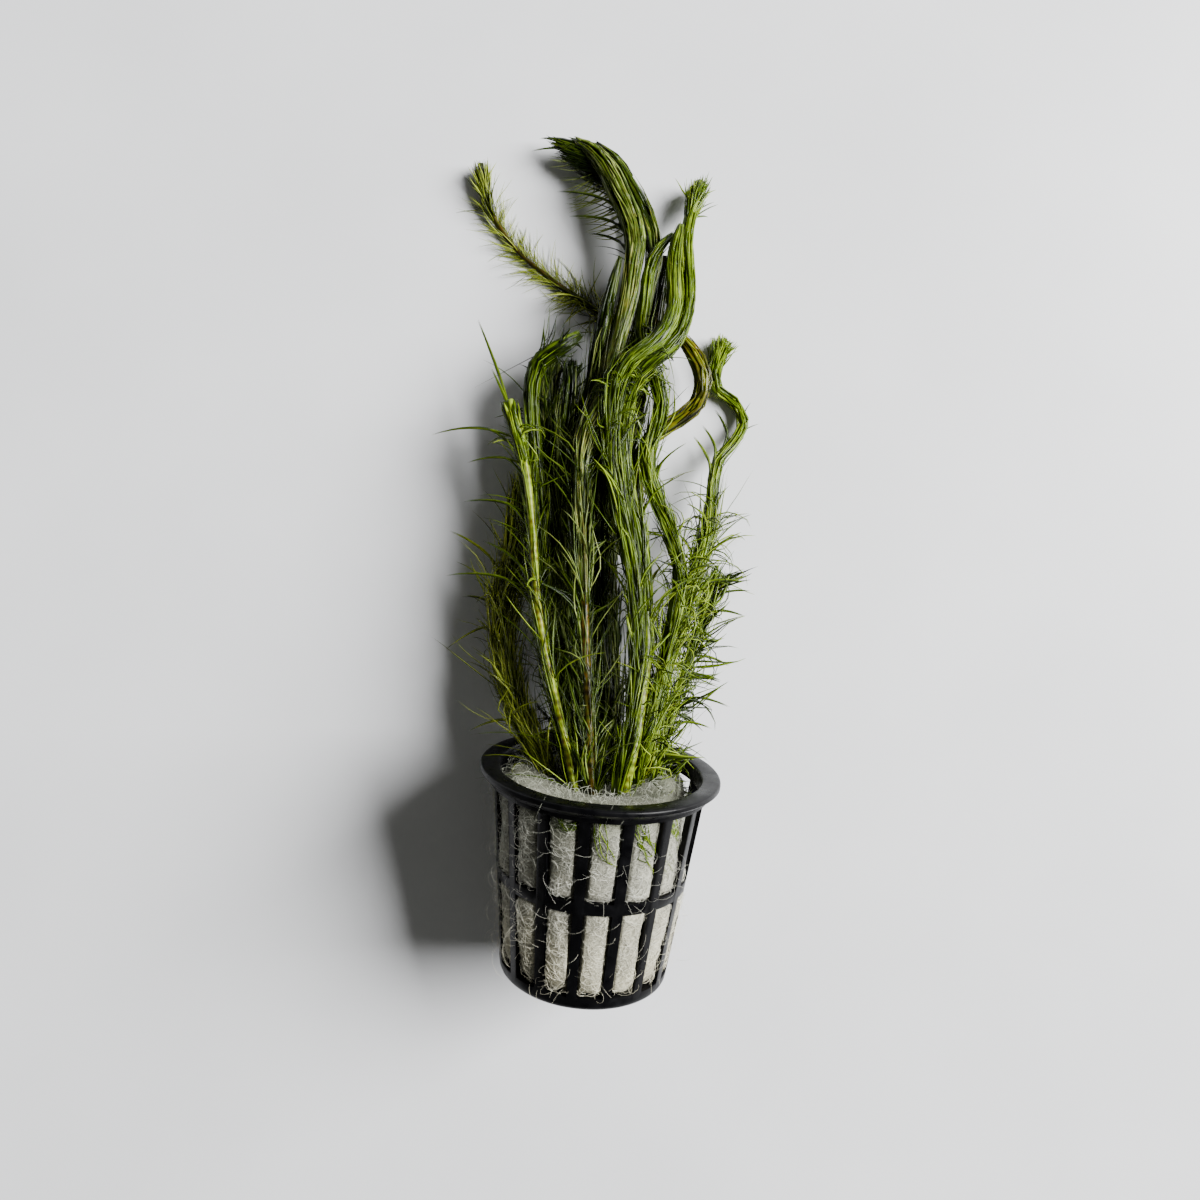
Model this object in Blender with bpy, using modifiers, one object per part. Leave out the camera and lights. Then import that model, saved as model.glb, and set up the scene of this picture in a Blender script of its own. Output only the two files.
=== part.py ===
"""Mayaca, a fine-leaved water plant, in a small slatted net pot packed with filter wool.

The pot lies on its side with the wet stems spread out from its mouth. Sizes are in
millimetres while the layout is worked out, and place() turns them into metres. In the
layout X runs to the right, Y from the pot to the stem tips, and Z up from the surface.
The finished origin is on the surface, under the middle of the whole.
"""
import math

import bmesh
import bpy
import numpy as np
from mathutils import Matrix, Vector

MM = 0.001
MIDDLE = (-1.7, 12.2)  # the layout point, X and Y, that the origin stands under
GAP = 0.4  # air left between neighbouring pieces

# Net pot, heights measured along its axis from the outside of the base
RIM_R = 26.0
RIM_EDGE = 1.3
RIM_TOP_R = 25.4
RIM_DROP = 2.2
BAND_R = 23.8
BAND_DEPTH = 3.5
WALL_TOP_R = 22.9
BASE_R = 18.6
BASE_ROUND = 1.6
WALL = 1.5
FLOOR = 1.6
CORNER = 0.5  # the small slope that eases the rim's corners
MOUTH_FLARE = 0.9
POT_H = 46.7
BASE_AT = (-4.0, -82.0)
POT_TURN = math.radians(5.2)
POT_STEPS = 48

# Slots in the wall of the pot
RIBS = 16
FIRST_RIB = math.radians(-6.0)
RIB_WIDTH_TOP = 2.4
RIB_WIDTH_FOOT = 2.1
HOOP_AT = 23.7
HOOP_HEIGHT = 2.5
SLOTS_FROM = 3.0
SLOTS_TO = POT_H - BAND_DEPTH
CUT_INSIDE = 1.5  # how far a slot's cutter runs past the wall, inside and outside
CUT_OUTSIDE = 3.0

# Filter wool inside the pot
WOOL_FROM = 2.4
WOOL_TO = POT_H - 1.2
WOOL_DISH = 4.0
DISH_FROM = 0.6  # the share of the wool's half height from which its top is dished
WOOL_FULL = 11  # the higher, the squarer the wool's corners
WOOL_SLACK = 0.5
WOOL_LUMPS = ((3, 0.21, 0.25), (7, -0.33, 0.18))  # waves round the pot, their twist with height, size
WOOL_HOLLOW = 5.0  # how far the wool stands back at the right of the mouth
HOLLOW_AT = math.radians(84)
HOLLOW_FROM = 24.0
POCKET = 0.65

# Stems
RING_STEP = 6.2
TUBE_RESOLUTION = 1
SETTLE_ROUNDS = 160
SETTLE_PUSH = 0.25
SETTLE_EASE = (0.55, 0.35, 1.0)  # how freely a stem gives way along X, Y and up
STEM_SPACING = GAP + 0.15
FLOOR_LIFT = 0.12
MOUTH_Y = -36.0
POCKETS_TO_Y = MOUTH_Y + 6
LEAVES_FROM_Y = MOUTH_Y + 3
TIPS_END_Y = 110.5

# Samples for each stretch of a route, and for each whole stem and leaf that is tested
CURVE_SAMPLES = 12
NEAR_SAMPLES = 400
STEM_SAMPLES = 120
LEAF_SAMPLES = 14

# Each stem from its root in the wool to its tip: X, Y, height and radius
STEMS = {
    "stem_bottle_brush": [
        (0, -53, 17, 1.0), (-0.5, -39.5, 17, 1.1), (-1, -23, 13.5, 1.1), (-2, -4.5, 10, 1.1),
        (-2.5, 14, 7, 1.1), (-1, 33, 5, 1.0), (2, 47.5, 3.5, 1.0), (3, 62, 2.5, 0.9),
        (0.5, 68.5, 2, 0.9), (-3.5, 71.5, 1.5, 0.9), (-8.5, 74.5, 1.2, 0.9), (-13, 78, 1.2, 0.9),
        (-18, 82, 1.2, 0.9), (-22.5, 87, 1.3, 1.0), (-25.5, 91.5, 1.6, 1.1), (-27.5, 98, 2.2, 1.3),
        (-28.5, 104, 3.2, 1.5),
    ],
    "stem_feather": [
        (0, -53, 29, 1.1), (-1.7, -38, 32, 1.1), (-2.5, -21.5, 29, 1.1), (-3, -11, 27, 1.1),
        (-3.3, 0, 25, 1.1), (-3.7, 11, 23, 1.3), (-4, 22, 21, 1.6), (-3.3, 33.5, 19.5, 1.8),
        (-1.6, 39.5, 18.5, 1.9), (1.3, 45.5, 17.5, 1.7), (3, 52.5, 16, 1.7), (5, 61, 14.5, 1.8),
        (7, 68.5, 13, 1.9), (8, 76, 11.5, 2.0), (8.8, 82.5, 10, 2.2), (7.7, 88.5, 9, 2.4),
        (5, 94.5, 8, 2.5), (2, 101, 7, 2.3), (-2, 106, 6, 1.8), (-5.7, 108.8, 5, 0.9),
    ],
    "stem_feather_back": [
        (1.5, -53, 21, 1.1), (1.3, -37.5, 22, 1.2), (1, -18, 18, 1.3), (0, 0, 15, 1.4),
        (-0.5, 18.5, 12, 1.4), (0.5, 32.5, 11, 1.5), (3, 44, 9.5, 1.6), (6, 54, 8, 1.6),
        (9, 63.5, 7, 1.6), (11.3, 73, 6.5, 1.6), (12.6, 79.5, 6.3, 1.7), (13, 85, 6, 1.8),
        (11.4, 89, 5.5, 1.9), (9.6, 94, 5, 1.9), (7, 99, 4, 1.8), (3.5, 105, 3.2, 1.4),
        (-0.9, 109, 2.5, 0.8),
    ],
    "stem_wrap": [
        (3.5, -53, 26, 1.1), (5.8, -37.5, 29.5, 1.2), (7.3, -31, 28.5, 1.3), (8.6, -21.5, 26.5, 1.4),
        (9.8, -11, 24, 1.5), (9.7, 0, 21.5, 1.7), (9, 9, 19.5, 1.8), (7.6, 17, 18.5, 1.8),
        (6, 24.5, 17.5, 1.8), (4.7, 32.5, 17, 1.7), (4.7, 39.5, 16.5, 1.6), (5.7, 45.5, 16, 1.7),
        (7.2, 50, 16, 1.8), (10.2, 53.5, 16, 1.8), (13.8, 56, 15.5, 1.8), (17, 59, 14.5, 1.7),
        (19.2, 63.5, 13, 1.6), (20.3, 70, 11.5, 1.6), (20.2, 76, 10, 1.6), (20, 81.5, 8.5, 1.5),
        (20.6, 87.5, 7, 1.3), (22.2, 93.5, 5, 1.3), (24, 99, 3.8, 1.7),
    ],
    "stem_wrap_inner": [
        (2, -53, 31.5, 1.1), (4, -37, 32, 1.2), (6, -28.5, 30.5, 1.2), (7.3, -19.5, 28, 1.3),
        (8.2, -11, 26, 1.4), (8, -1, 24, 1.5), (7.3, 7.5, 22, 1.6), (5.8, 15.5, 21, 1.7),
        (4, 23.5, 20, 1.7), (2.7, 31, 19.5, 1.6), (2.7, 38, 19, 1.6), (3, 44.5, 19, 1.6),
        (4.2, 49.5, 19, 1.6), (6.5, 53.5, 19, 1.6), (10, 56, 18.5, 1.6), (13.7, 59, 17.5, 1.6),
        (16, 63.5, 16, 1.5), (17, 69, 14.5, 1.5), (16.7, 75, 13, 1.5), (17.2, 80.5, 12, 1.4),
        (18.7, 86.5, 11, 0.8),
    ],
    "stem_under_wrap": [
        (5.8, -53, 23.5, 1.1), (8.5, -37.5, 26, 1.2), (9.8, -31.5, 25.5, 1.2), (12.5, -22, 22.5, 1.3),
        (15, -11, 20, 1.3), (17.5, 0, 18, 1.4), (18, 7, 17, 1.4), (16.5, 13.5, 15.5, 1.5),
        (14.5, 19.5, 14.5, 1.5), (11.5, 26.5, 13.5, 1.6), (10.8, 33, 12.5, 1.6), (12.7, 39, 11.5, 1.6),
        (14, 45, 10.5, 1.6), (13.4, 50, 10, 1.5), (11, 55, 10.5, 1.4), (9.2, 61.5, 11.5, 1.3),
        (9.9, 68, 12, 1.3), (10.6, 73, 12, 1.3), (11.3, 78, 11, 1.2), (14, 82, 10, 1.1),
        (17, 85, 9, 0.7),
    ],
    "stem_loop": [
        (6, -53, 20.5, 1.1), (8, -38.5, 21.5, 1.2), (9, -24.5, 19, 1.2), (10, -11, 16, 1.3),
        (9, 0, 13.5, 1.4), (8, 11.5, 11, 1.5), (7.9, 23.5, 9, 1.6), (9.2, 34, 7, 1.6),
        (13, 39.5, 6.8, 1.7), (17.6, 42, 7, 1.7), (21.7, 45, 7.5, 1.8), (24, 49, 8, 1.8),
        (23.6, 54, 8, 1.8), (21, 59, 7.5, 1.6), (18, 62.5, 7, 1.1),
    ],
    "stem_hook": [
        (8, -53, 24.5, 1.1), (10.8, -38.5, 23.5, 1.2), (11.5, -33, 22.5, 1.2), (12.5, -24.5, 20, 1.2),
        (15.5, -13.5, 17, 1.3), (18.5, -4.5, 14.5, 1.3), (20.5, 2.5, 13, 1.4), (23, 9, 11.5, 1.4),
        (25, 16, 10, 1.4), (26, 23.5, 8.5, 1.4), (26.5, 28, 7.5, 1.3), (27.5, 32.5, 6, 1.2),
        (30.5, 36, 4.5, 1.2), (33.5, 39.5, 3, 1.2), (34.5, 43.5, 2, 1.2), (33, 47, 1.4, 1.2),
        (29, 49, 1.4, 1.3), (26.5, 53, 1.6, 1.5), (28, 57, 1.9, 1.7), (30, 62, 2.4, 1.6),
    ],
    "stem_bare_left": [
        (-3.5, -53, 28, 1.0), (-6, -36, 31, 1.0), (-9, -23.5, 28, 1.0), (-12, -11, 25, 1.0),
        (-14, 2, 22.5, 1.0), (-15, 15.5, 20.5, 1.0), (-16.5, 29, 19, 1.1), (-19, 39, 18, 1.4),
        (-20.5, 44.5, 17, 1.9),
    ],
    "stem_arch": [
        (-4.5, -53, 23.5, 1.1), (-6.5, -38, 25, 1.2), (-7.5, -28.5, 22, 1.3), (-9.6, -15.5, 19, 1.4),
        (-11.7, 0, 16.5, 1.6), (-13.4, 16, 15, 1.8), (-14.4, 27.5, 14, 1.8), (-15.3, 38.5, 13.3, 1.7),
        (-15.8, 45.5, 13, 1.7), (-15.3, 51, 13, 1.7), (-14, 54.5, 13, 1.7), (-11.4, 56.5, 13, 1.7),
        (-7.8, 58.5, 13, 1.6), (-4.6, 61, 12, 0.9),
    ],
    "stem_back_left": [
        (-3, -53, 19.5, 1.1), (-4.8, -38.5, 20.5, 1.2), (-6.5, -27, 18, 1.3), (-9, -9, 15, 1.5),
        (-10.8, 9, 12.5, 1.7), (-11.8, 27.5, 10.5, 1.8), (-12, 41.5, 10, 1.8), (-11.6, 51, 9.5, 1.7),
        (-9.8, 56, 9.5, 1.0),
    ],
    "stem_middle_left": [
        (-1.2, -53, 25, 1.1), (-3, -38, 27, 1.2), (-4, -26.5, 23.5, 1.2), (-5.5, -11, 19.5, 1.4),
        (-7, 4.5, 17, 1.6), (-7.7, 20.5, 15, 1.8), (-8.2, 34.5, 13.5, 1.8), (-7.1, 47, 13, 1.8),
        (-6.4, 55, 12, 1.1),
    ],
    "stem_behind_feather": [
        (-2, -53, 22.3, 1.1), (-1.7, -39, 23.2, 1.2), (-2.2, -22.5, 18.5, 1.3), (-3.2, -4.5, 14.5, 1.4),
        (-4.7, 14, 11.5, 1.7), (-5.1, 30, 10, 1.8), (-3.7, 40.5, 11, 1.8), (-2.3, 47, 12, 1.8),
        (-0.7, 55, 12.5, 1.7), (0.7, 62, 13, 1.6), (2, 69, 13, 1.3), (4.6, 78.5, 13, 0.4),
    ],
    "stem_outer_left": [
        (-7, -53, 22.5, 1.1), (-12, -37.5, 23, 1.2), (-15.5, -31, 20, 1.4), (-20, -21.5, 16, 1.6),
        (-22.5, -10.5, 12.5, 1.8), (-22.5, 0, 10.5, 1.8), (-21, 9.5, 9.5, 1.6), (-19, 20, 9, 1.4),
        (-18, 30, 9.3, 0.9),
    ],
    "stem_right_leafy": [
        (8.5, -53, 20.5, 1.1), (12.5, -36.5, 19.5, 1.2), (15.5, -28, 17, 1.2), (18, -20.5, 14, 1.2),
        (21, -12.5, 11, 1.2), (24, -4.5, 8.5, 1.2), (26, 2.5, 7, 1.1), (27.5, 8, 6, 0.7),
    ],
    "stem_back_middle": [
        (3.5, -53, 18, 1.1), (3.8, -39, 18.5, 1.2), (3.3, -20.5, 15, 1.3), (2.7, -4.5, 12, 1.4),
        (2.3, 9.5, 9.3, 1.5), (3.3, 21, 8, 1.5), (5.2, 30.5, 7.5, 1.5), (8, 40, 7, 1.6),
        (9.7, 51, 5.5, 1.6), (12, 59.5, 4.5, 1.5), (13, 66.5, 4.5, 1.5), (14.5, 74.5, 4.5, 1.3),
        (15.2, 81.5, 4.8, 0.8),
    ],
}

# Leaves that stand away from their stem: the Y they leave it at, and the tip's X, Y and height
LOOSE_LEAVES = {
    "stem_bare_left": [
        (36, (-39, 38, 11)), (30, (-30.5, 31.5, 12)), (18.5, (-31.5, 22.5, 12)),
        (3, (-27, 13.5, 14)), (0.5, (-35.5, 5.5, 13)), (42, (-28, 64, 14)), (40, (-24.5, 52, 17)),
    ],
    "stem_outer_left": [
        (5, (-35, 16, 10)), (-3, (-31.5, 1, 9)), (-6, (-36, -11.5, 8)), (-12, (-28.5, -4, 14)),
        (-27, (-29.5, -29.5, 17)),
    ],
    "stem_hook": [
        (36, (27, 45, 5)), (33, (24, 41, 6)), (29, (21.5, 38, 9.5)), (9, (32.5, 15.5, 12)),
        (2.5, (33, 4, 13)), (-6, (26.5, -9.5, 16)),
    ],
    "stem_under_wrap": [(27, (19.5, 35.5, 15))],
    "stem_right_leafy": [
        (0, (35, 2, 8)), (-3, (34, -4, 7)), (-13, (30, -15.5, 10)), (-18, (27.5, -18.5, 14)),
        (-23, (29.5, -24.5, 14)), (-28, (25, -29, 17)),
    ],
    "stem_feather": [
        (90, (-10.5, 96.5, 5)), (85, (-7.5, 91, 4)), (80, (-3, 87, 4)), (105, (-16.5, 106.5, 4)),
        (108, (-14.5, 109.5, 4)),
    ],
}

# Short leaves wound up the stem: the Y they start from, how far apart, how long, and their lean
SHORT_LEAVES = {
    "stem_bottle_brush": (68, 2.2, 8.0, 48),
    "stem_feather": (-30, 13.0, 8.0, 24),
    "stem_feather_back": (70, 7.0, 6.0, 22),
    "stem_wrap": (60, 12.0, 8.0, 24),
    "stem_wrap_inner": (-30, 13.0, 8.0, 30),
    "stem_under_wrap": (-30, 9.0, 8.0, 42),
    "stem_loop": (40, 9.0, 7.0, 30),
    "stem_hook": (-30, 7.0, 8.0, 40),
    "stem_bare_left": (-28, 9.0, 9.0, 38),
    "stem_arch": (-28, 12.0, 8.0, 32),
    "stem_back_left": (-28, 14.0, 8.0, 32),
    "stem_middle_left": (-28, 14.0, 8.0, 32),
    "stem_outer_left": (-26, 6.0, 8.0, 40),
    "stem_right_leafy": (-26, 5.0, 8.0, 42),
    "stem_back_middle": (-28, 16.0, 8.0, 34),
}
LEAF_BASE_R = 0.55
LEAF_CLEAR = 0.75 + GAP
LEAF_SPACING = LEAF_CLEAR + 0.5
GOLDEN_TURN = math.radians(137.5)

# Colour, roughness and metallic value of each material
FINISHES = {
    "black_plastic": ((0.012, 0.012, 0.014), 0.38, 0.0),
    "filter_wool": ((0.72, 0.72, 0.68), 0.95, 0.0),
    "fresh_green": ((0.10, 0.22, 0.02), 0.35, 0.0),
    "dark_green": ((0.03, 0.09, 0.02), 0.35, 0.0),
    "olive_brown": ((0.12, 0.11, 0.03), 0.40, 0.0),
}
STEM_FINISH = {
    "stem_bottle_brush": "olive_brown",
    "stem_loop": "olive_brown",
    "stem_outer_left": "olive_brown",
    "stem_feather": "dark_green",
    "stem_feather_back": "dark_green",
    "stem_back_left": "dark_green",
    "stem_middle_left": "dark_green",
    "stem_behind_feather": "dark_green",
    "stem_back_middle": "dark_green",
}


def place(point):
    """A layout point in millimetres as a point of the finished part, in metres."""
    x, y, z = point
    return Vector((x - MIDDLE[0], y - MIDDLE[1], z)) * MM


def clear_scene():
    for obj in list(bpy.data.objects):
        bpy.data.objects.remove(obj, do_unlink=True)


def new_collection(name):
    collection = bpy.data.collections.new(name)
    bpy.context.scene.collection.children.link(collection)
    return collection


def make_materials():
    made = {}
    for name, (colour, roughness, metallic) in FINISHES.items():
        material = bpy.data.materials.new(name)
        material.use_nodes = True
        shader = material.node_tree.nodes["Principled BSDF"]
        shader.inputs["Base Color"].default_value = (*colour, 1.0)
        shader.inputs["Roughness"].default_value = roughness
        shader.inputs["Metallic"].default_value = metallic
        made[name] = material
    return made


def add_object(name, mesh, collection, matrix=None, material=None):
    obj = bpy.data.objects.new(name, mesh)
    if matrix is not None:
        obj.matrix_world = matrix
    if material is not None:
        mesh.materials.append(material)
    collection.objects.link(obj)
    return obj


def as_helper(obj):
    obj.hide_render = True
    obj.display_type = "WIRE"
    return obj


def add_boolean(obj, operation, other):
    boolean = obj.modifiers.new(operation.lower(), "BOOLEAN")
    boolean.operation = operation
    boolean.solver = "EXACT"
    boolean.use_self = operation == "UNION"
    boolean.object = other


# Pot


def wall_radius(height):
    """The pot wall's outer radius at a height above the base."""
    share = (height - BASE_ROUND) / (POT_H - BAND_DEPTH - BASE_ROUND)
    return BASE_R + (WALL_TOP_R - BASE_R) * share


def pot_tilt():
    """How far the mouth is tipped up when the rim and the base both touch the surface."""
    return math.atan2(RIM_R - BASE_R, POT_H - RIM_EDGE - BASE_ROUND)


def pot_matrix():
    """The pot's own +Z becomes its axis, and its own -Y the side that faces up."""
    tilt = pot_tilt()
    height = BASE_R * math.cos(tilt) - BASE_ROUND * math.sin(tilt)
    turn = Matrix.Rotation(-POT_TURN, 4, "Z") @ Matrix.Rotation(tilt - math.pi / 2, 4, "X")
    return Matrix.Translation(place((*BASE_AT, height))) @ turn


def pot_profile():
    """The wall's section from the inside floor, over the rim and down to the base."""
    inner_foot = wall_radius(FLOOR) - WALL
    inner_top = WALL_TOP_R - WALL
    band_foot = POT_H - BAND_DEPTH
    rounded = [
        (BASE_R - BASE_ROUND * (1 - math.cos(a)), BASE_ROUND * (1 - math.sin(a)))
        for a in (0, math.pi / 6, math.pi / 3)
    ]
    return [
        (0, FLOOR), (inner_foot - 2 * CORNER, FLOOR), (inner_foot, FLOOR + 2 * CORNER),
        (inner_top, band_foot), (inner_top + MOUTH_FLARE / 2, POT_H - CORNER),
        (inner_top + MOUTH_FLARE, POT_H), (RIM_TOP_R, POT_H), (RIM_R, POT_H - CORNER),
        (RIM_R, POT_H - RIM_EDGE), (BAND_R + CORNER, POT_H - RIM_DROP),
        (BAND_R, POT_H - RIM_DROP - CORNER), (BAND_R, band_foot), (WALL_TOP_R, band_foot - CORNER / 4),
        *rounded, (BASE_R - BASE_ROUND, 0), (0, 0),
    ]


def turned_mesh(name, profile, collection, matrix, steps):
    """A closed shape turned about Z from a profile of radius and height."""
    mesh = bpy.data.meshes.new(name)
    points = [(r * MM, 0, h * MM) for r, h in profile]
    mesh.from_pydata(points, [(i, i + 1) for i in range(len(points) - 1)], [])
    obj = add_object(name, mesh, collection, matrix)
    screw = obj.modifiers.new("turn", "SCREW")
    screw.steps = steps
    screw.render_steps = steps
    screw.use_merge_vertices = True
    screw.merge_threshold = 0.00001
    screw.use_smooth_shade = True
    return obj


def slot_cutter(low, high, angle):
    """A tapered block through the wall between two ribs."""
    mesh = bmesh.new()
    bmesh.ops.create_cube(mesh, size=1.0)
    reach_in = wall_radius(low) - WALL - CUT_INSIDE
    reach_out = WALL_TOP_R + CUT_OUTSIDE
    for vert in mesh.verts:
        height = high if vert.co.z > 0 else low
        share = (height - SLOTS_FROM) / (SLOTS_TO - SLOTS_FROM)
        rib = RIB_WIDTH_FOOT + (RIB_WIDTH_TOP - RIB_WIDTH_FOOT) * share
        width = 2 * math.pi * wall_radius(height) / RIBS - rib
        depth = reach_out if vert.co.y < 0 else reach_in
        vert.co = Vector((math.copysign(width / 2, vert.co.x), -depth, height)) * MM
    bmesh.ops.recalc_face_normals(mesh, faces=mesh.faces)
    mesh.transform(Matrix.Rotation(angle, 4, "Z"))
    return mesh


def make_pot(parts, helpers, material):
    matrix = pot_matrix()
    pot = turned_mesh("net_pot", pot_profile(), parts, matrix, POT_STEPS)
    pot.data.materials.append(material)
    slots = bpy.data.meshes.new("pot_slots")
    joined = bmesh.new()
    rows = ((SLOTS_FROM, HOOP_AT - HOOP_HEIGHT / 2), (HOOP_AT + HOOP_HEIGHT / 2, SLOTS_TO))
    for low, high in rows:
        for k in range(RIBS):
            cutter = slot_cutter(low, high, FIRST_RIB + (k + 0.5) * 2 * math.pi / RIBS)
            cutter.to_mesh(slots)
            cutter.free()
            joined.from_mesh(slots)
    joined.to_mesh(slots)
    joined.free()
    add_boolean(pot, "DIFFERENCE", as_helper(add_object("pot_slots", slots, helpers, matrix)))
    return pot


# Stems


def smooth_route(points, step):
    """Points a step apart along the smooth curve through the route's own points."""
    given = np.array(points, float)
    padded = np.vstack([2 * given[0] - given[1], given, 2 * given[-1] - given[-2]])
    dense = []
    for a, b, c, d in zip(padded, padded[1:], padded[2:], padded[3:]):
        for t in np.linspace(0, 1, CURVE_SAMPLES, endpoint=False):
            dense.append(0.5 * (2 * b + (c - a) * t + (2 * a - 5 * b + 4 * c - d) * t**2
                                + (3 * b - a - 3 * c + d) * t**3))
    dense.append(given[-1])
    dense = np.array(dense)
    along = np.concatenate([[0], np.cumsum(np.linalg.norm(np.diff(dense[:, :3], axis=0), axis=1))])
    count = max(3, round(along[-1] / step) + 1)
    at = np.linspace(0, along[-1], count)
    return np.column_stack([np.interp(at, along, dense[:, k]) for k in range(4)])


def settle(routes):
    """Stems that press on each other are eased apart, mostly up and down, and kept off the surface."""
    points = np.vstack(routes)
    radius = points[:, 3]
    owner = np.repeat(np.arange(len(routes)), [len(route) for route in routes])
    start = points[:, :3].copy()
    moved = np.zeros_like(start)
    first = np.flatnonzero(owner[:-1] == owner[1:])
    low = np.concatenate([first, first, first, np.arange(len(points))])
    high = np.concatenate([first + 1, first + 1, first + 1, np.arange(len(points))])
    share = np.concatenate([np.full(len(first), s) for s in (0.25, 0.5, 0.75)] + [np.zeros(len(points))])
    thick = (1 - share) * radius[low] + share * radius[high]
    apart = thick[:, None] + thick[None] + STEM_SPACING
    others = owner[low][:, None] != owner[low][None]
    for _ in range(SETTLE_ROUNDS):
        now = start + moved
        sample = (1 - share)[:, None] * now[low] + share[:, None] * now[high]
        gap = sample[:, None] - sample[None]
        distance = np.linalg.norm(gap, axis=2) + 1e-9
        short = np.where(others, np.clip(apart - distance, 0, None), 0)
        push = (short / distance)[:, :, None] * gap * np.array(SETTLE_EASE) * SETTLE_PUSH
        push = push.sum(axis=1)
        for index, weight in ((low, 1 - share), (high, share)):
            np.add.at(moved, index, push * weight[:, None])
        inner = np.flatnonzero((owner[:-2] == owner[2:]))
        mean = (moved[inner] + moved[inner + 2]) / 2
        moved[inner + 1] += SETTLE_PUSH * (mean - moved[inner + 1])
        below = radius + FLOOR_LIFT - (start[:, 2] + moved[:, 2])
        moved[:, 2] += np.clip(below, 0, None)
    done = np.column_stack([start + moved, radius])
    return [done[owner == k] for k in range(len(routes))]


def tube_mesh(name, route, collection):
    """A round tube along a route of X, Y, height and radius, closed at both ends."""
    curve = bpy.data.curves.new(name, "CURVE")
    curve.dimensions = "3D"
    curve.bevel_depth = MM
    curve.bevel_resolution = TUBE_RESOLUTION
    curve.use_fill_caps = True
    spline = curve.splines.new("POLY")
    spline.points.add(len(route) - 1)
    for point, (x, y, z, r) in zip(spline.points, route):
        point.co = (*place((x, y, z)), 1)
        point.radius = r
    guide = add_object(name + "_guide", curve, collection)
    bpy.context.view_layer.update()
    graph = bpy.context.evaluated_depsgraph_get()
    mesh = bpy.data.meshes.new_from_object(guide.evaluated_get(graph))
    bpy.data.objects.remove(guide)
    bpy.data.curves.remove(curve)
    mesh.name = name
    shape = bmesh.new()
    shape.from_mesh(mesh)
    bmesh.ops.remove_doubles(shape, verts=shape.verts, dist=0.00001)
    bmesh.ops.recalc_face_normals(shape, faces=shape.faces)
    shape.to_mesh(mesh)
    shape.free()
    return mesh


def sampled(route, count):
    """The route's X, Y, height and radius at evenly spread places."""
    at = np.linspace(0, 1, count)
    return np.column_stack([np.interp(at, np.linspace(0, 1, len(route)), route[:, k]) for k in range(4)])


def near_y(route, y):
    """The point of the route, root to tip, that is as near to Y as any."""
    fine = sampled(route, NEAR_SAMPLES)
    return fine[np.argmin(np.abs(fine[:, 1] - y))]


def loose_leaves(name, route):
    found = []
    for y, tip in LOOSE_LEAVES.get(name, []):
        found.append((near_y(route, y)[:3], np.array(tip, float)))
    return found


def short_leaves(name, route):
    """Leaves wound round the stem by the golden angle, leaning to its tip."""
    if name not in SHORT_LEAVES:
        return []
    start_y, spacing, length, lean = SHORT_LEAVES[name]
    lean = math.radians(lean)
    along = np.concatenate([[0], np.cumsum(np.linalg.norm(np.diff(route[:, :3], axis=0), axis=1))])
    found = []
    turn = 0.0
    for at in np.arange(spacing / 2, along[-1] - length, spacing):
        here = np.array([np.interp(at, along, route[:, k]) for k in range(4)])
        ahead = np.array([np.interp(at + 1.0, along, route[:, k]) for k in range(3)])
        turn += GOLDEN_TURN
        if here[1] < start_y:
            continue
        run = Vector(ahead - here[:3]).normalized()
        side = run.orthogonal().normalized()
        out = Matrix.Rotation(turn, 3, run) @ side
        reach = (run * math.cos(lean) + out * math.sin(lean)) * (length + here[3])
        found.append((here[:3], here[:3] + np.array(reach)))
    return found


def line_samples(leaf):
    base, tip = leaf
    return base + (tip - base) * np.linspace(0, 1, LEAF_SAMPLES)[:, None]


def is_clear(leaf, own, routes, kept):
    """Whether a leaf stays off the surface, the pot's rim and everything that isn't its own stem."""
    line = line_samples(leaf)
    if line[:, 2].min() < LEAF_BASE_R or line[:, 1].min() < LEAVES_FROM_Y or line[-1, 1] > TIPS_END_Y:
        return False
    for k, route in enumerate(routes):
        if k == own:
            continue
        fine = sampled(route, STEM_SAMPLES)
        distance = np.linalg.norm(line[:, None] - fine[None, :, :3], axis=2) - fine[None, :, 3]
        if distance.min() < LEAF_CLEAR:
            return False
    for other, owner in kept:
        if owner != own:
            distance = np.linalg.norm(line[:, None] - line_samples(other)[None], axis=2)
            if distance.min() < LEAF_SPACING:
                return False
    return True


def leaf_cones(name, leaves, helpers):
    """One helper mesh holding a slim cone for each leaf, from the stem's middle to the leaf's tip."""
    shape = bmesh.new()
    for base, tip in leaves:
        run = Vector(tip - base)
        middle = place((base + tip) / 2)
        matrix = Matrix.Translation(middle) @ run.to_track_quat("Z", "Y").to_matrix().to_4x4()
        bmesh.ops.create_cone(shape, cap_ends=True, segments=3, radius1=LEAF_BASE_R * MM,
                              radius2=0, depth=run.length * MM, matrix=matrix)
    mesh = bpy.data.meshes.new(name + "_leaves")
    shape.to_mesh(mesh)
    shape.free()
    return as_helper(add_object(name + "_leaves", mesh, helpers))


def make_stems(parts, helpers, materials):
    """Every stem with its leaves, and the routes that they settled into."""
    names = list(STEMS)
    routes = settle([smooth_route(STEMS[name], RING_STEP) for name in names])
    kept = []
    for find in (loose_leaves, short_leaves):
        for own, name in enumerate(names):
            for leaf in find(name, routes[own]):
                if is_clear(leaf, own, routes, kept):
                    kept.append((leaf, own))
    for own, name in enumerate(names):
        material = materials[STEM_FINISH.get(name, "fresh_green")]
        stem = add_object(name, tube_mesh(name, routes[own], parts), parts, material=material)
        leaves = [leaf for leaf, owner in kept if owner == own]
        if leaves:
            add_boolean(stem, "UNION", leaf_cones(name, leaves, helpers))
        stem.data.shade_smooth()
        stem.data.set_sharp_from_angle(angle=math.radians(50))
    return routes


# Wool


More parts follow.
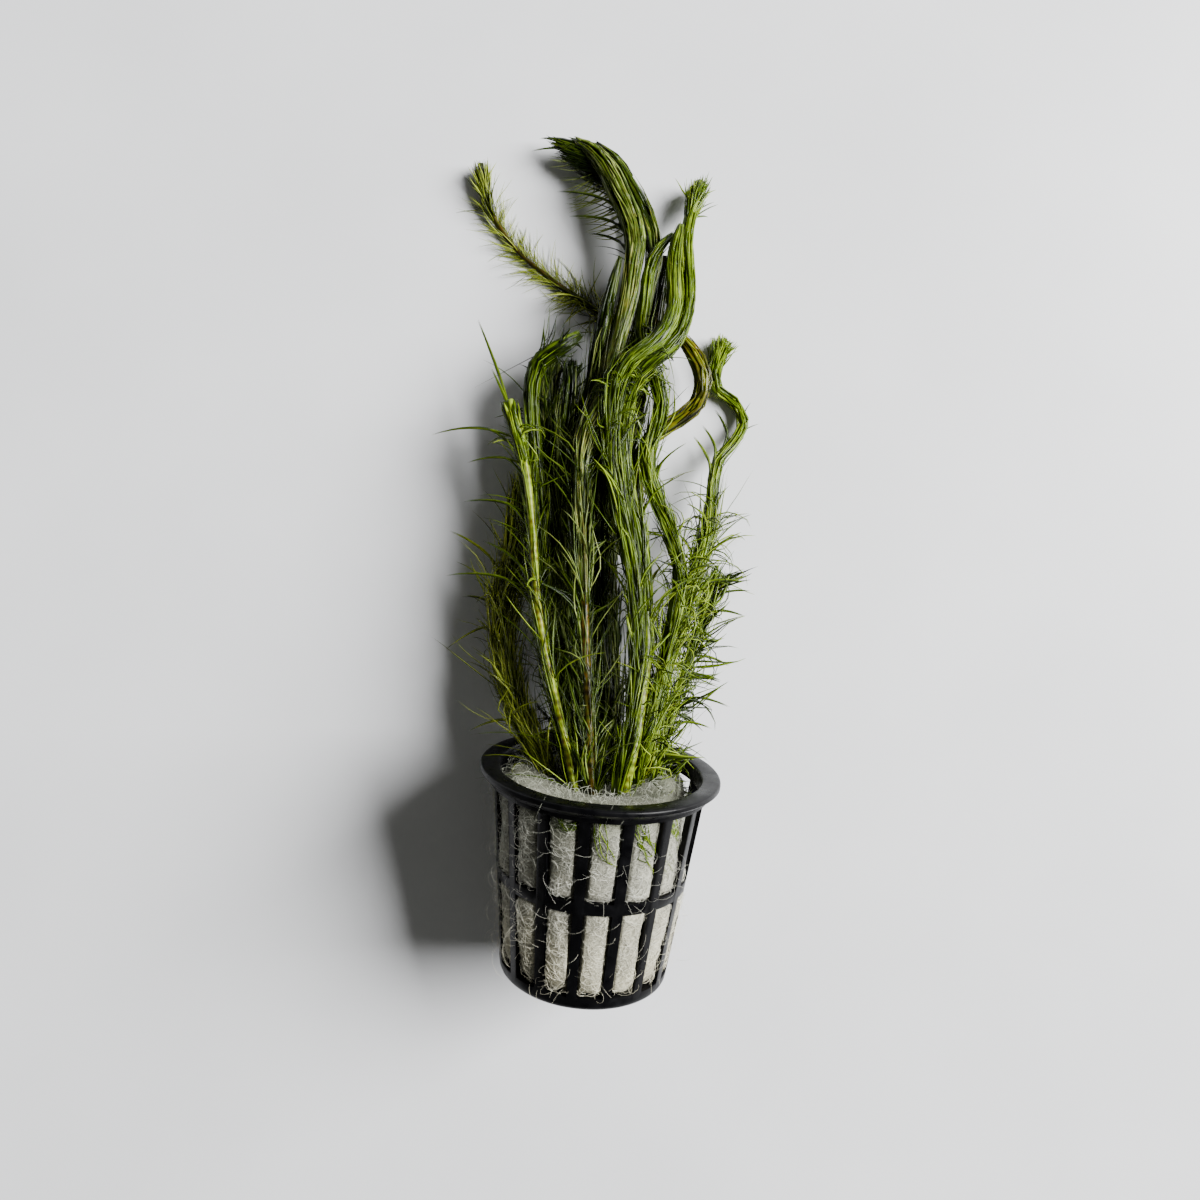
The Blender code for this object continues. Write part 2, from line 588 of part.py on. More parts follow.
def wool_radius(height, angle):
    """How far the wool reaches from the pot's axis, at an angle from the side that faces up."""
    inside = wall_radius(height) - WALL - GAP - WOOL_SLACK
    lumps = sum(size * math.sin(waves * angle + twist * height) for waves, twist, size in WOOL_LUMPS)
    toward_gap = max(0.0, math.cos(angle - HOLLOW_AT))
    upper = max(0.0, (height - HOLLOW_FROM) / (POT_H - HOLLOW_FROM))
    return inside + lumps - WOOL_HOLLOW * toward_gap**6 * upper


def make_wool(parts, helpers, material, routes):
    """A ball of wool pressed to the pot's inside, dished at the mouth, with a pocket for each stem."""
    shape = bmesh.new()
    bmesh.ops.create_uvsphere(shape, u_segments=20, v_segments=12, radius=1.0)
    for vert in shape.verts:
        x, y, z = vert.co
        angle = math.atan2(x, -y)
        out = math.hypot(x, y)
        squared = (1 - abs(z) ** WOOL_FULL) ** (1 / WOOL_FULL) if out > 1e-6 else 0.0
        height = WOOL_FROM + (WOOL_TO - WOOL_FROM) * (1 + z) / 2
        if z > DISH_FROM:
            height -= WOOL_DISH * (1 - squared) * (z - DISH_FROM) / (1 - DISH_FROM)
        reach = squared * wool_radius(height, angle)
        vert.co = Vector((reach * math.sin(angle), -reach * math.cos(angle), height)) * MM
    mesh = bpy.data.meshes.new("filter_wool")
    shape.to_mesh(mesh)
    shape.free()
    wool = add_object("filter_wool", mesh, parts, pot_matrix(), material)
    mesh.shade_smooth()
    for name, route in zip(STEMS, routes):
        rooted = route[: np.argmax(route[:, 1] > POCKETS_TO_Y) + 1].copy()
        run = rooted[0, :3] - rooted[1, :3]
        rooted[0, :3] += POCKET * run / np.linalg.norm(run)
        rooted[:, 3] += POCKET
        pocket = tube_mesh(name + "_pocket", rooted, helpers)
        add_boolean(wool, "DIFFERENCE", as_helper(add_object(name + "_pocket", pocket, helpers)))
    return wool


def main():
    clear_scene()
    parts = new_collection("mayaca")
    helpers = new_collection("cutters")
    materials = make_materials()
    make_pot(parts, helpers, materials["black_plastic"])
    routes = make_stems(parts, helpers, materials)
    make_wool(parts, helpers, materials["filter_wool"], routes)


main()
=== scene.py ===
"""Mayaca, a fine-leaved water plant, in a small slatted net pot packed with filter wool.

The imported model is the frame. Each stem is clothed in its wet leaves, the wool gets its
fibres and the pot its moulded edges. Lengths are in millimetres, in the model's own layout:
X runs to the right, Y from the pot to the stem tips, and Z up from the surface.
"""
import math

import bmesh
import bpy
import numpy as np
from mathutils import Matrix, Vector


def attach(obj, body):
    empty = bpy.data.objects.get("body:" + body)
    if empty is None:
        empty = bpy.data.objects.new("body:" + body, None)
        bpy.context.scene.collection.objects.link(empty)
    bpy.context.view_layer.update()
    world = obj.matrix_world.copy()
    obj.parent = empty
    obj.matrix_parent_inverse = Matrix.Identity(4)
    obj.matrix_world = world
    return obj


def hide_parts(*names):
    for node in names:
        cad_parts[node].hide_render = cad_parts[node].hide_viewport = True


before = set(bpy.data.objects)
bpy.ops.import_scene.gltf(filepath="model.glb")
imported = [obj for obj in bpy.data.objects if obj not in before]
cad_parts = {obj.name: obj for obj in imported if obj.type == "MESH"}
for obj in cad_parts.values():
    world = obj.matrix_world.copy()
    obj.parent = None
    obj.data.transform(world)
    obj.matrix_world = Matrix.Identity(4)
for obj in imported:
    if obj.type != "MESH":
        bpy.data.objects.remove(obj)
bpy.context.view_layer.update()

MM = 0.001
MIDDLE = (-1.7, 12.2)  # the layout point, X and Y, that the origin stands under
GAP = 0.4
UP = np.array([0, 0, 1.0])

# Camera, whose focal length is in the photograph's own pixels
CAMERA_HEIGHT = 251.0
PHOTO_SIDE = 1200
PHOTO_FOCAL = 1040
SENSOR = 36.0

# Light: one wide window at the right, in metres and watts, and a dim pale room
WINDOW_TOWARD = (0.77, 0.19, 0.53)
WINDOW_DISTANCE = 2.0
WINDOW_SIZE = 1.2
WINDOW_POWER = 212.0
ROOM_COLOUR = "#e4e4de"
ROOM_STRENGTH = 0.14
BOARD_HALF = 1.5

# Net pot, heights measured along its axis from the outside of the base
RIM_R = 26.0
RIM_EDGE = 1.3
RIM_DROP = 2.2
BAND_R = 23.8
BAND_DEPTH = 3.5
WALL_TOP_R = 22.9
BASE_R = 18.6
BASE_ROUND = 1.6
WALL = 1.5
FLOOR = 1.6
CORNER = 0.5
MOUTH_FLARE = 0.9
POT_H = 46.7
BASE_AT = (-4.0, -82.0)
POT_TURN = math.radians(5.2)
POT_STEPS = 160
RIBS = 16
RIB_TURN = 2 * math.pi / RIBS
FIRST_RIB = math.radians(-6.0)
RIB_WIDTH_TOP = 2.4
RIB_WIDTH_FOOT = 2.1
HOOP_AT = 23.7
HOOP_HEIGHT = 2.5
SLOTS_FROM = 3.0
SLOTS_TO = POT_H - BAND_DEPTH
CUT_INSIDE = 1.5  # how far a slot's cutter runs past the wall, inside and outside
CUT_OUTSIDE = 3.0
EDGE_ROUND = 0.15  # on every moulded edge that is sharper than this angle
EDGE_FROM = math.radians(50)
CREASE_FROM = math.radians(40)

# Filter wool
WOOL_FROM = 2.4
WOOL_TO = POT_H - 1.2
WOOL_DISH = 4.0
DISH_FROM = 0.6  # the share of the wool's half height from which its top is dished
WOOL_FULL = 11  # the higher, the squarer the wool's corners
WOOL_SLACK = 0.5
WOOL_LUMPS = ((3, 0.21, 0.25), (7, -0.33, 0.18))  # waves round the pot, their twist, their size
WOOL_HOLLOW = 5.0  # how far the wool stands back at the right of the mouth
HOLLOW_AT = math.radians(84)
HOLLOW_FROM = 24.0
HOLLOW_NARROW = 6  # the higher, the narrower the hollow
WOOL_PRESS = 0.42  # how far the wool is pressed out behind the ribs, and swells between them
WOOL_BULGE = 2.2
BULGE_FLAT = 0.6  # the share of the swelling that is there at a window's edge
BULGE_ROUND = 0.7
WINDOW_FROM = 0.3  # the share of a rib's turn that hides the wool, and how soon it swells then
WINDOW_EASE = 0.1
EDGE_EASE = 0.6
OUTLINE_SAMPLES = 1200
WOOL_STEPS = 320
WOOL_ROWS = 100

# The wool's fibres: those curled on its face, those loose over the ribs, by their turn in
# degrees and their height, and those that stand up in the mouth
FIBRE_SEED = 71
FIBRE_WIDTH = 0.07
FIBRE_STEPS = 7
FIBRE_STRIDE = 0.75
LOOSE_FIBRE_WIDTH = 0.03
LOOSE_FIBRE_STEPS = 12
FACE_FIBRES = 1900
LOOSE_FIBRES = (
    (800, (-110, 100), (SLOTS_FROM, SLOTS_TO)),
    (420, (-110, -40), (12, SLOTS_TO)),
)
MOUTH_FIBRES = 640
MOUTH_SHARES = (0.05, 0.9)  # the part of the mouth's area that they stand in, from its middle
FACE_HALF = math.pi * 0.75  # the face fibres' reach round the pot, to either side
FACE_STARTS = (WOOL_FROM + 1.5, WOOL_TO - 0.5)
FACE_KEEPS = (WOOL_FROM + 1, WOOL_TO - 0.3)
FACE_TURN = 0.6  # how much they curl, and how unsteadily, at each step
FACE_WAVER = 0.3
FACE_LIFT = 0.3  # how far they lie off the wool, and how far more they arch off it
LOOSE_ROOT = 0.5  # how deep in the wool a loose fibre may start, and one in the mouth does
MOUTH_ROOT = 0.2
ASLANT = np.array([0.31, 0.87, 0.38])  # a direction that hardly any fibre follows

# Stems
RING_STEP = 6.2
SETTLE_ROUNDS = 160
SETTLE_PUSH = 0.25
SETTLE_EASE = (0.55, 0.35, 1.0)  # how freely a stem gives way along X, Y and up
SETTLE_WITHIN = 12.0  # places on two stems that start farther apart never come to press
STEM_SPACING = GAP + 0.15
FLOOR_LIFT = 0.12
CURVE_SAMPLES = 12

# A stem's body: matted strands of leaves, and leaf scars where it is a bare stalk
FINE_STEP = 0.85  # between its rings
BODY_SIDES = 32
STRANDS = 9
STRAND_STRAY = 0.3  # how unevenly they are set round it
STRAND_DRIFTS = ((0.35, 9), (0.5, 23))  # how far they wander round it, over which lengths
STRAND_SPREAD = 1.4  # how wide a strand is, of the room that it has
STRAND_PROUD = (0.72, 0.28)  # how high one stands, and how much that changes
PROUD_LENGTH = 3.7
STRAND_RELIEF = 0.22  # how deep the grooves are, as a share of the body's radius
STRAND_SHADES = 0.25
GROOVE_PAINTED_SHADE = 0.5  # painted shade: how much darker the grooves between strands are painted than a crest of this height, and the highest crests a little lighter, as painted light
CREST_FULL = 0.8
RING_EVERY = 2  # a bare stalk has a leaf scar round it at every second ring
SCARS = (0.1, 1.0)  # how plain one of them is
SCAR_RISE = 0.03
SCAR_SHADE = 0.5

# Leaves
OVERRUN = 0.8  # how far leaves may reach past their stem's end
LAID_STEPS = 4
LAID_SWAY = 0.2
LEAF_STEPS = 6
LEAF_SUNK = 0.25  # how far a laid leaf sinks into its stem, and how deep in a free one starts
LEAF_ROOT = 0.35
LEAF_SINK = 0.03  # how much a free leaf droops at each step
LEAF_LOWEST = FLOOR_LIFT + 0.1
LEAF_FOOT = 0.6  # a leaf's width at its root, of its full width, which it has from a share on
LEAF_FULL_AT = 0.3
LEAF_POINT = 2.2  # the higher, the blunter its tip
LEAF_BACK = 0.9  # the height of its back, of half its width
LEAF_WIDTHS = (0.7, 1.3)
LEAF_FACES_UP = 0.6
TIP_SHADE = 0.16  # how much lighter a leaf gets towards its tip, about this share of it
TIP_FROM = 0.4
FRESH = (0.0, 0.12)
LONG_TONE = (0.25, 0.7)
LONG_AGE = (0, 0.1)
ALL_ROUND = (-180, 180)
LONG_STEPS = 10
LONG_BOW = 0.22  # how far a long leaf first follows its stem, as a share of its length
BOW_AT = 0.35
PAIR_APART = 3.5  # between the roots of two leaves that cling together
PAIR_MEETS = 0.45  # the share of their length where they meet
PAIR_WIDTH = 0.65
PAIR_OFF = np.array([0.15, 0.15, 0.12])
FINE_WIDTH = 0.3
CLUMP_LENGTH = 1.1  # how far apart the leaves of a clump start, along the stem
CLUMP_TURN = 22.0  # and round it, in degrees
CLUMP_BY = 0.8  # the share of their length by which they cling together
CLUMP_CLOSE = 0.94
WAVER = 0.07  # how unsteadily a curly line turns, at each step
FAN_SAG = 0.14  # how far a fanned leaf sags, as a share of its length
FAN_ROOT_STRAY = 0.8
FAN_STRAY = 0.1  # how far, of the tips' line, one strays along it, and how far off it
FAN_OFF = 0.4
FAN_SHORT = 0.5  # how much of its length a fanned leaf may lack
VEIN_RUN = 0.35  # how fast the veins' pattern runs along a leaf, for each millimetre
VEIN_ACROSS = (0.3, 0.6, 0.0)  # where it is on a leaf's back and on its two edges
VEIN_FIELD = 50  # how far apart in it two leaves may be
VEIN_ROUND = 7  # how fast it runs round a stem's body, for each radian

# Each stem from its root in the wool to its tip: X, Y, height and radius
STEMS = {
    "stem_bottle_brush": [
        (0, -53, 17, 1.0), (-0.5, -39.5, 17, 1.1), (-1, -23, 13.5, 1.1), (-2, -4.5, 10, 1.1),
        (-2.5, 14, 7, 1.1), (-1, 33, 5, 1.0), (2, 47.5, 3.5, 1.0), (3, 62, 2.5, 0.9),
        (0.5, 68.5, 2, 0.9), (-3.5, 71.5, 1.5, 0.9), (-8.5, 74.5, 1.2, 0.9), (-13, 78, 1.2, 0.9),
        (-18, 82, 1.2, 0.9), (-22.5, 87, 1.3, 1.0), (-25.5, 91.5, 1.6, 1.1),
        (-27.5, 98, 2.2, 1.3), (-28.5, 104, 3.2, 1.5),
    ],
    "stem_feather": [
        (0, -53, 29, 1.1), (-1.7, -38, 32, 1.1), (-2.5, -21.5, 29, 1.1), (-3, -11, 27, 1.1),
        (-3.3, 0, 25, 1.1), (-3.7, 11, 23, 1.3), (-4, 22, 21, 1.6), (-3.3, 33.5, 19.5, 1.8),
        (-1.6, 39.5, 18.5, 1.9), (1.3, 45.5, 17.5, 1.7), (3, 52.5, 16, 1.7), (5, 61, 14.5, 1.8),
        (7, 68.5, 13, 1.9), (8, 76, 11.5, 2.0), (8.8, 82.5, 10, 2.2), (7.7, 88.5, 9, 2.4),
        (5, 94.5, 8, 2.5), (2, 101, 7, 2.3), (-2, 106, 6, 1.8), (-5.7, 108.8, 5, 0.9),
    ],
    "stem_feather_back": [
        (1.5, -53, 21, 1.1), (1.3, -37.5, 22, 1.2), (1, -18, 18, 1.3), (0, 0, 15, 1.4),
        (-0.5, 18.5, 12, 1.4), (0.5, 32.5, 11, 1.5), (3, 44, 9.5, 1.6), (6, 54, 8, 1.6),
        (9, 63.5, 7, 1.6), (11.3, 73, 6.5, 1.6), (12.6, 79.5, 6.3, 1.7), (13, 85, 6, 1.8),
        (11.4, 89, 5.5, 1.9), (9.6, 94, 5, 1.9), (7, 99, 4, 1.8), (3.5, 105, 3.2, 1.4),
        (-0.9, 109, 2.5, 0.8),
    ],
    "stem_wrap": [
        (3.5, -53, 26, 1.1), (5.8, -37.5, 29.5, 1.2), (7.3, -31, 28.5, 1.3),
        (8.6, -21.5, 26.5, 1.4), (9.8, -11, 24, 1.5), (9.7, 0, 21.5, 1.7), (9, 9, 19.5, 1.8),
        (7.6, 17, 18.5, 1.8), (6, 24.5, 17.5, 1.8), (4.7, 32.5, 17, 1.7), (4.7, 39.5, 16.5, 1.6),
        (5.7, 45.5, 16, 1.7), (7.2, 50, 16, 1.8), (10.2, 53.5, 16, 1.8), (13.8, 56, 15.5, 1.8),
        (17, 59, 14.5, 1.7), (19.2, 63.5, 13, 1.6), (20.3, 70, 11.5, 1.6), (20.2, 76, 10, 1.6),
        (20, 81.5, 8.5, 1.5), (20.6, 87.5, 7, 1.3), (22.2, 93.5, 5, 1.3), (24, 99, 3.8, 1.7),
    ],
    "stem_wrap_inner": [
        (2, -53, 31.5, 1.1), (4, -37, 32, 1.2), (6, -28.5, 30.5, 1.2), (7.3, -19.5, 28, 1.3),
        (8.2, -11, 26, 1.4), (8, -1, 24, 1.5), (7.3, 7.5, 22, 1.6), (5.8, 15.5, 21, 1.7),
        (4, 23.5, 20, 1.7), (2.7, 31, 19.5, 1.6), (2.7, 38, 19, 1.6), (3, 44.5, 19, 1.6),
        (4.2, 49.5, 19, 1.6), (6.5, 53.5, 19, 1.6), (10, 56, 18.5, 1.6), (13.7, 59, 17.5, 1.6),
        (16, 63.5, 16, 1.5), (17, 69, 14.5, 1.5), (16.7, 75, 13, 1.5), (17.2, 80.5, 12, 1.4),
        (18.7, 86.5, 11, 0.8),
    ],
    "stem_under_wrap": [
        (5.8, -53, 23.5, 1.1), (8.5, -37.5, 26, 1.2), (9.8, -31.5, 25.5, 1.2),
        (12.5, -22, 22.5, 1.3), (15, -11, 20, 1.3), (17.5, 0, 18, 1.4), (18, 7, 17, 1.4),
        (16.5, 13.5, 15.5, 1.5), (14.5, 19.5, 14.5, 1.5), (11.5, 26.5, 13.5, 1.6),
        (10.8, 33, 12.5, 1.6), (12.7, 39, 11.5, 1.6), (14, 45, 10.5, 1.6), (13.4, 50, 10, 1.5),
        (11, 55, 10.5, 1.4), (9.2, 61.5, 11.5, 1.3), (9.9, 68, 12, 1.3), (10.6, 73, 12, 1.3),
        (11.3, 78, 11, 1.2), (14, 82, 10, 1.1), (17, 85, 9, 0.7),
    ],
    "stem_loop": [
        (6, -53, 20.5, 1.1), (8, -38.5, 21.5, 1.2), (9, -24.5, 19, 1.2), (10, -11, 16, 1.3),
        (9, 0, 13.5, 1.4), (8, 11.5, 11, 1.5), (7.9, 23.5, 9, 1.6), (9.2, 34, 7, 1.6),
        (13, 39.5, 6.8, 1.7), (17.6, 42, 7, 1.7), (21.7, 45, 7.5, 1.8), (24, 49, 8, 1.8),
        (23.6, 54, 8, 1.8), (21, 59, 7.5, 1.6), (18, 62.5, 7, 1.1),
    ],
    "stem_hook": [
        (8, -53, 24.5, 1.1), (10.8, -38.5, 23.5, 1.2), (11.5, -33, 22.5, 1.2),
        (12.5, -24.5, 20, 1.2), (15.5, -13.5, 17, 1.3), (18.5, -4.5, 14.5, 1.3),
        (20.5, 2.5, 13, 1.4), (23, 9, 11.5, 1.4), (25, 16, 10, 1.4), (26, 23.5, 8.5, 1.4),
        (26.5, 28, 7.5, 1.3), (27.5, 32.5, 6, 1.2), (30.5, 36, 4.5, 1.2), (33.5, 39.5, 3, 1.2),
        (34.5, 43.5, 2, 1.2), (33, 47, 1.4, 1.2), (29, 49, 1.4, 1.3), (26.5, 53, 1.6, 1.5),
        (28, 57, 1.9, 1.7), (30, 62, 2.4, 1.6),
    ],
    "stem_bare_left": [
        (-3.5, -53, 28, 1.0), (-6, -36, 31, 1.0), (-9, -23.5, 28, 1.0), (-12, -11, 25, 1.0),
        (-14, 2, 22.5, 1.0), (-15, 15.5, 20.5, 1.0), (-16.5, 29, 19, 1.1), (-19, 39, 18, 1.4),
        (-20.5, 44.5, 17, 1.9),
    ],
    "stem_arch": [
        (-4.5, -53, 23.5, 1.1), (-6.5, -38, 25, 1.2), (-7.5, -28.5, 22, 1.3),
        (-9.6, -15.5, 19, 1.4), (-11.7, 0, 16.5, 1.6), (-13.4, 16, 15, 1.8),
        (-14.4, 27.5, 14, 1.8), (-15.3, 38.5, 13.3, 1.7), (-15.8, 45.5, 13, 1.7),
        (-15.3, 51, 13, 1.7), (-14, 54.5, 13, 1.7), (-11.4, 56.5, 13, 1.7), (-7.8, 58.5, 13, 1.6),
        (-4.6, 61, 12, 0.9),
    ],
    "stem_back_left": [
        (-3, -53, 19.5, 1.1), (-4.8, -38.5, 20.5, 1.2), (-6.5, -27, 18, 1.3), (-9, -9, 15, 1.5),
        (-10.8, 9, 12.5, 1.7), (-11.8, 27.5, 10.5, 1.8), (-12, 41.5, 10, 1.8),
        (-11.6, 51, 9.5, 1.7), (-9.8, 56, 9.5, 1.0),
    ],
    "stem_middle_left": [
        (-1.2, -53, 25, 1.1), (-3, -38, 27, 1.2), (-4, -26.5, 23.5, 1.2), (-5.5, -11, 19.5, 1.4),
        (-7, 4.5, 17, 1.6), (-7.7, 20.5, 15, 1.8), (-8.2, 34.5, 13.5, 1.8), (-7.1, 47, 13, 1.8),
        (-6.4, 55, 12, 1.1),
    ],
    "stem_behind_feather": [
        (-2, -53, 22.3, 1.1), (-1.7, -39, 23.2, 1.2), (-2.2, -22.5, 18.5, 1.3),
        (-3.2, -4.5, 14.5, 1.4), (-4.7, 14, 11.5, 1.7), (-5.1, 30, 10, 1.8),
        (-3.7, 40.5, 11, 1.8), (-2.3, 47, 12, 1.8), (-0.7, 55, 12.5, 1.7), (0.7, 62, 13, 1.6),
        (2, 69, 13, 1.3), (4.6, 78.5, 13, 0.4),
    ],
    "stem_outer_left": [
        (-7, -53, 22.5, 1.1), (-12, -37.5, 23, 1.2), (-15.5, -31, 20, 1.4), (-20, -21.5, 16, 1.6),
        (-22.5, -10.5, 12.5, 1.8), (-22.5, 0, 10.5, 1.8), (-21, 9.5, 9.5, 1.6), (-19, 20, 9, 1.4),
        (-18, 30, 9.3, 0.9),
    ],
    "stem_right_leafy": [
        (8.5, -53, 20.5, 1.1), (12.5, -36.5, 19.5, 1.2), (15.5, -28, 17, 1.2),
        (18, -20.5, 14, 1.2), (21, -12.5, 11, 1.2), (24, -4.5, 8.5, 1.2), (26, 2.5, 7, 1.1),
        (27.5, 8, 6, 0.7),
    ],
    "stem_back_middle": [
        (3.5, -53, 18, 1.1), (3.8, -39, 18.5, 1.2), (3.3, -20.5, 15, 1.3), (2.7, -4.5, 12, 1.4),
        (2.3, 9.5, 9.3, 1.5), (3.3, 21, 8, 1.5), (5.2, 30.5, 7.5, 1.5), (8, 40, 7, 1.6),
        (9.7, 51, 5.5, 1.6), (12, 59.5, 4.5, 1.5), (13, 66.5, 4.5, 1.5), (14.5, 74.5, 4.5, 1.3),
        (15.2, 81.5, 4.8, 0.8),
    ],
}

STEM_SLOT = {
    **dict.fromkeys(("stem_bottle_brush", "stem_loop", "stem_outer_left"), "olive_stem"),
    **dict.fromkeys(("stem_feather", "stem_feather_back", "stem_back_left", "stem_middle_left",
                     "stem_behind_feather", "stem_back_middle"), "dark_stem"),
}

# Leaves that stand away from their stem: the Y they leave it at, and the tip's X, Y and height
LOOSE_LEAVES = {
    "stem_bare_left": [
        (36, (-39, 38, 11)), (30, (-30.5, 31.5, 12)), (18.5, (-31.5, 22.5, 12)),
        (3, (-27, 13.5, 14)), (0.5, (-35.5, 5.5, 13)), (42, (-28, 64, 14)), (40, (-24.5, 52, 17)),
    ],
    "stem_outer_left": [
        (5, (-35, 16, 10)), (-3, (-31.5, 1, 9)), (-6, (-36, -11.5, 8)), (-12, (-28.5, -4, 14)),
        (-27, (-29.5, -29.5, 17)),
    ],
    "stem_hook": [
        (36, (27, 45, 5)), (33, (24, 41, 6)), (29, (21.5, 38, 9.5)), (9, (32.5, 15.5, 12)),
        (2.5, (33, 4, 13)), (-6, (26.5, -9.5, 16)),
    ],
    "stem_under_wrap": [(27, (19.5, 35.5, 15))],
    "stem_right_leafy": [
        (0, (35, 2, 8)), (-3, (34, -4, 7)), (-13, (30, -15.5, 10)), (-18, (27.5, -18.5, 14)),
        (-23, (29.5, -24.5, 14)), (-28, (25, -29, 17)),
    ],
    "stem_feather": [
        (90, (-10.5, 96.5, 5)), (85, (-7.5, 91, 4)), (80, (-3, 87, 4)), (105, (-16.5, 106.5, 4)),
        (108, (-14.5, 109.5, 4)),
    ],
}

# Finer single leaves that bow out over their neighbours and the surface, given the same way
FINE_LEAVES = {
    "stem_bare_left": [
        (-41, (-26.7, -38, 30)), (-32.5, (-28, -28.8, 29)), (12, (-24, 22, 14)),
        (-14, (-26, -1, 17)),
    ],
    "stem_outer_left": [
        (-37, (-26.3, -33.8, 26)), (-24, (-24.5, -21.5, 17)), (-2, (-30.5, 5.5, 7)),
        (14, (-27.5, 26, 9)), (8, (-30, 21, 8)), (-18, (-30, -10.5, 12)),
    ],
    "stem_arch": [(61, (-30, 49, 9)), (30, (-27, 37, 10)), (45, (-27.5, 56, 9))],
    "stem_under_wrap": [(26, (15.4, 37.2, 12)), (40, (21, 50, 9)), (8, (22, 22, 16))],
    "stem_wrap_inner": [(35, (16.2, 32.8, 15)), (58, (17, 47, 17))],
    "stem_wrap": [(54, (22.1, 54.9, 12)), (52, (19.1, 46, 9)), (93, (25.5, 100, 4))],
    "stem_loop": [(56, (20.7, 62, 9)), (46, (27, 47.7, 8)), (52, (27, 57, 8))],
    "stem_bottle_brush": [
        (69, (0.8, 51, 19)), (70, (2.2, 47, 19.5)), (69.5, (-1.5, 56, 15)), (71, (-10, 62, 6)),
        (72, (-9, 69, 7)), (70, (-4.5, 79, 6)), (69, (-1, 80.5, 8)), (71, (-12.5, 67, 4)),
    ],
    "stem_hook": [
        (25, (16.1, 27.7, 9)), (24, (14.8, 21, 11)), (44, (36.1, 47.2, 3)), (40, (38, 42, 3)),
        (20, (30.5, 27, 8)), (12, (32, 21, 9)),
    ],
    "stem_right_leafy": [
        (-9, (25.5, -7, 12)), (-14, (27.5, -9, 10)), (-16, (24, -13, 13)),
        (-32, (24.4, -36, 22)), (-28, (21.5, -27, 18)), (-30, (19, -31, 23)), (2, (32, 12, 6)),
        (-7, (31, 4, 8)), (-20, (26, -21, 14)),
    ],
    "stem_feather": [
        (92, (-9, 99, 5)), (88, (-8, 95, 4)), (84, (-5, 89, 4)), (96, (-11, 100, 4)),
        (99, (-11, 103, 4)), (78, (-1.5, 84, 4)), (82, (-1, 88.5, 4)), (76, (1.5, 82, 5)),
    ],
}

# The body of each stem: its share along the stem, how light it is, how brown, how much it is
# matted into strands of leaves rather than a bare stalk, and how thick
GREEN_BODY = ((0, 0.4, 0.1, 0.4, 0.8), (0.3, 0.45, 0.08, 0.8, 0.9), (1, 0.5, 0.0, 1, 0.96))
DARK_BODY = ((0, 0.34, 0.1, 0.4, 0.8), (0.4, 0.4, 0.08, 0.8, 0.9), (1, 0.4, 0.05, 1, 0.95))
BODIES = {
    "stem_bottle_brush": (
        (0, 0.3, 0.3, 0.5, 0.9), (0.7, 0.3, 0.3, 0.5, 0.9), (0.77, 0.3, 0.75, 0.4, 0.62),
        (0.9, 0.4, 0.7, 0.4, 0.62), (0.95, 0.5, 0.1, 1, 0.75), (1, 0.7, 0, 1, 0.55),
    ),
    "stem_feather": (
        (0, 0.5, 0.6, 0.05, 0.85), (0.3, 0.62, 0.7, 0.05, 0.85), (0.4, 0.4, 0.3, 0.7, 0.92),
        (0.5, 0.48, 0.22, 1, 0.97), (0.76, 0.48, 0.2, 1, 0.97), (0.86, 0.44, 0.05, 1, 0.9),
        (1, 0.35, 0, 1, 0.8),
    ),
    "stem_feather_back": (
        (0, 0.25, 0.2, 0.3, 0.8), (0.5, 0.3, 0.15, 0.8, 0.95), (0.75, 0.42, 0.12, 1, 0.97),
        (1, 0.4, 0.05, 1, 0.9),
    ),
    "stem_wrap": (
        (0, 0.85, 0.1, 0.05, 0.9), (0.26, 0.75, 0.08, 0.1, 0.9), (0.4, 0.5, 0.05, 1, 0.96),
        (1, 0.6, 0, 1, 0.96),
    ),
    "stem_loop": (
        (0, 0.35, 0.3, 0.5, 0.85), (0.6, 0.42, 0.35, 0.9, 0.95), (1, 0.42, 0.35, 1, 0.97),
    ),
    "stem_hook": ((0, 0.5, 0.05, 0.3, 0.8), (0.5, 0.5, 0.05, 0.6, 0.9), (1, 0.6, 0, 0.9, 0.97)),
    "stem_bare_left": (
        (0, 0.75, 0.2, 0.03, 0.84), (0.6, 0.9, 0.2, 0.03, 0.84), (0.84, 0.8, 0.1, 0.2, 0.9),
        (0.92, 0.5, 0.1, 1, 0.97), (1, 0.7, 0, 1, 0.97),
    ),
    "stem_back_left": DARK_BODY,
    "stem_middle_left": (
        (0, 0.34, 0.1, 0.4, 0.8), (0.4, 0.4, 0.08, 0.8, 0.9), (0.85, 0.3, 0.05, 1, 0.95),
        (1, -0.2, 0, 1, 0.5),
    ),
    "stem_behind_feather": DARK_BODY,
    "stem_back_middle": (
        (0, 0.2, 0.4, 0.3, 0.8), (0.5, 0.25, 0.35, 0.8, 0.9), (0.65, 0.35, 0.55, 1, 0.95),
        (1, 0.3, 0.1, 1, 0.95),
    ),
    "stem_outer_left": (
        (0, 0.3, 0.2, 0.4, 0.8), (0.6, 0.35, 0.2, 0.7, 0.85), (1, 0.3, 0.1, 1, 0.9),
    ),
    "stem_arch": (
        (0, 0.4, 0.1, 0.4, 0.8), (0.3, 0.4, 0.08, 0.8, 0.9), (0.8, 0.34, 0, 1, 0.96),
        (0.92, 0, 0, 1, 0.8), (1, 0, 0, 1, 0.6),
    ),
    "stem_right_leafy": ((0, 0.5, 0.1, 0.2, 0.8), (1, 0.6, 0, 0.4, 0.8)),
}

# Kinds of leaves that lie along their stem, as laid_leaves() says: wet and close in long sleek
# strands, rough and winding, or short round the growing tip
SLEEK = dict(length=(11, 24), lean=(0, 2), width=0.85)
SHAGGY = dict(length=(11, 24), lean=(1, 7), width=0.5, wander=0.9)
BUD = dict(length=(4, 8), lean=(1, 10), width=0.42)

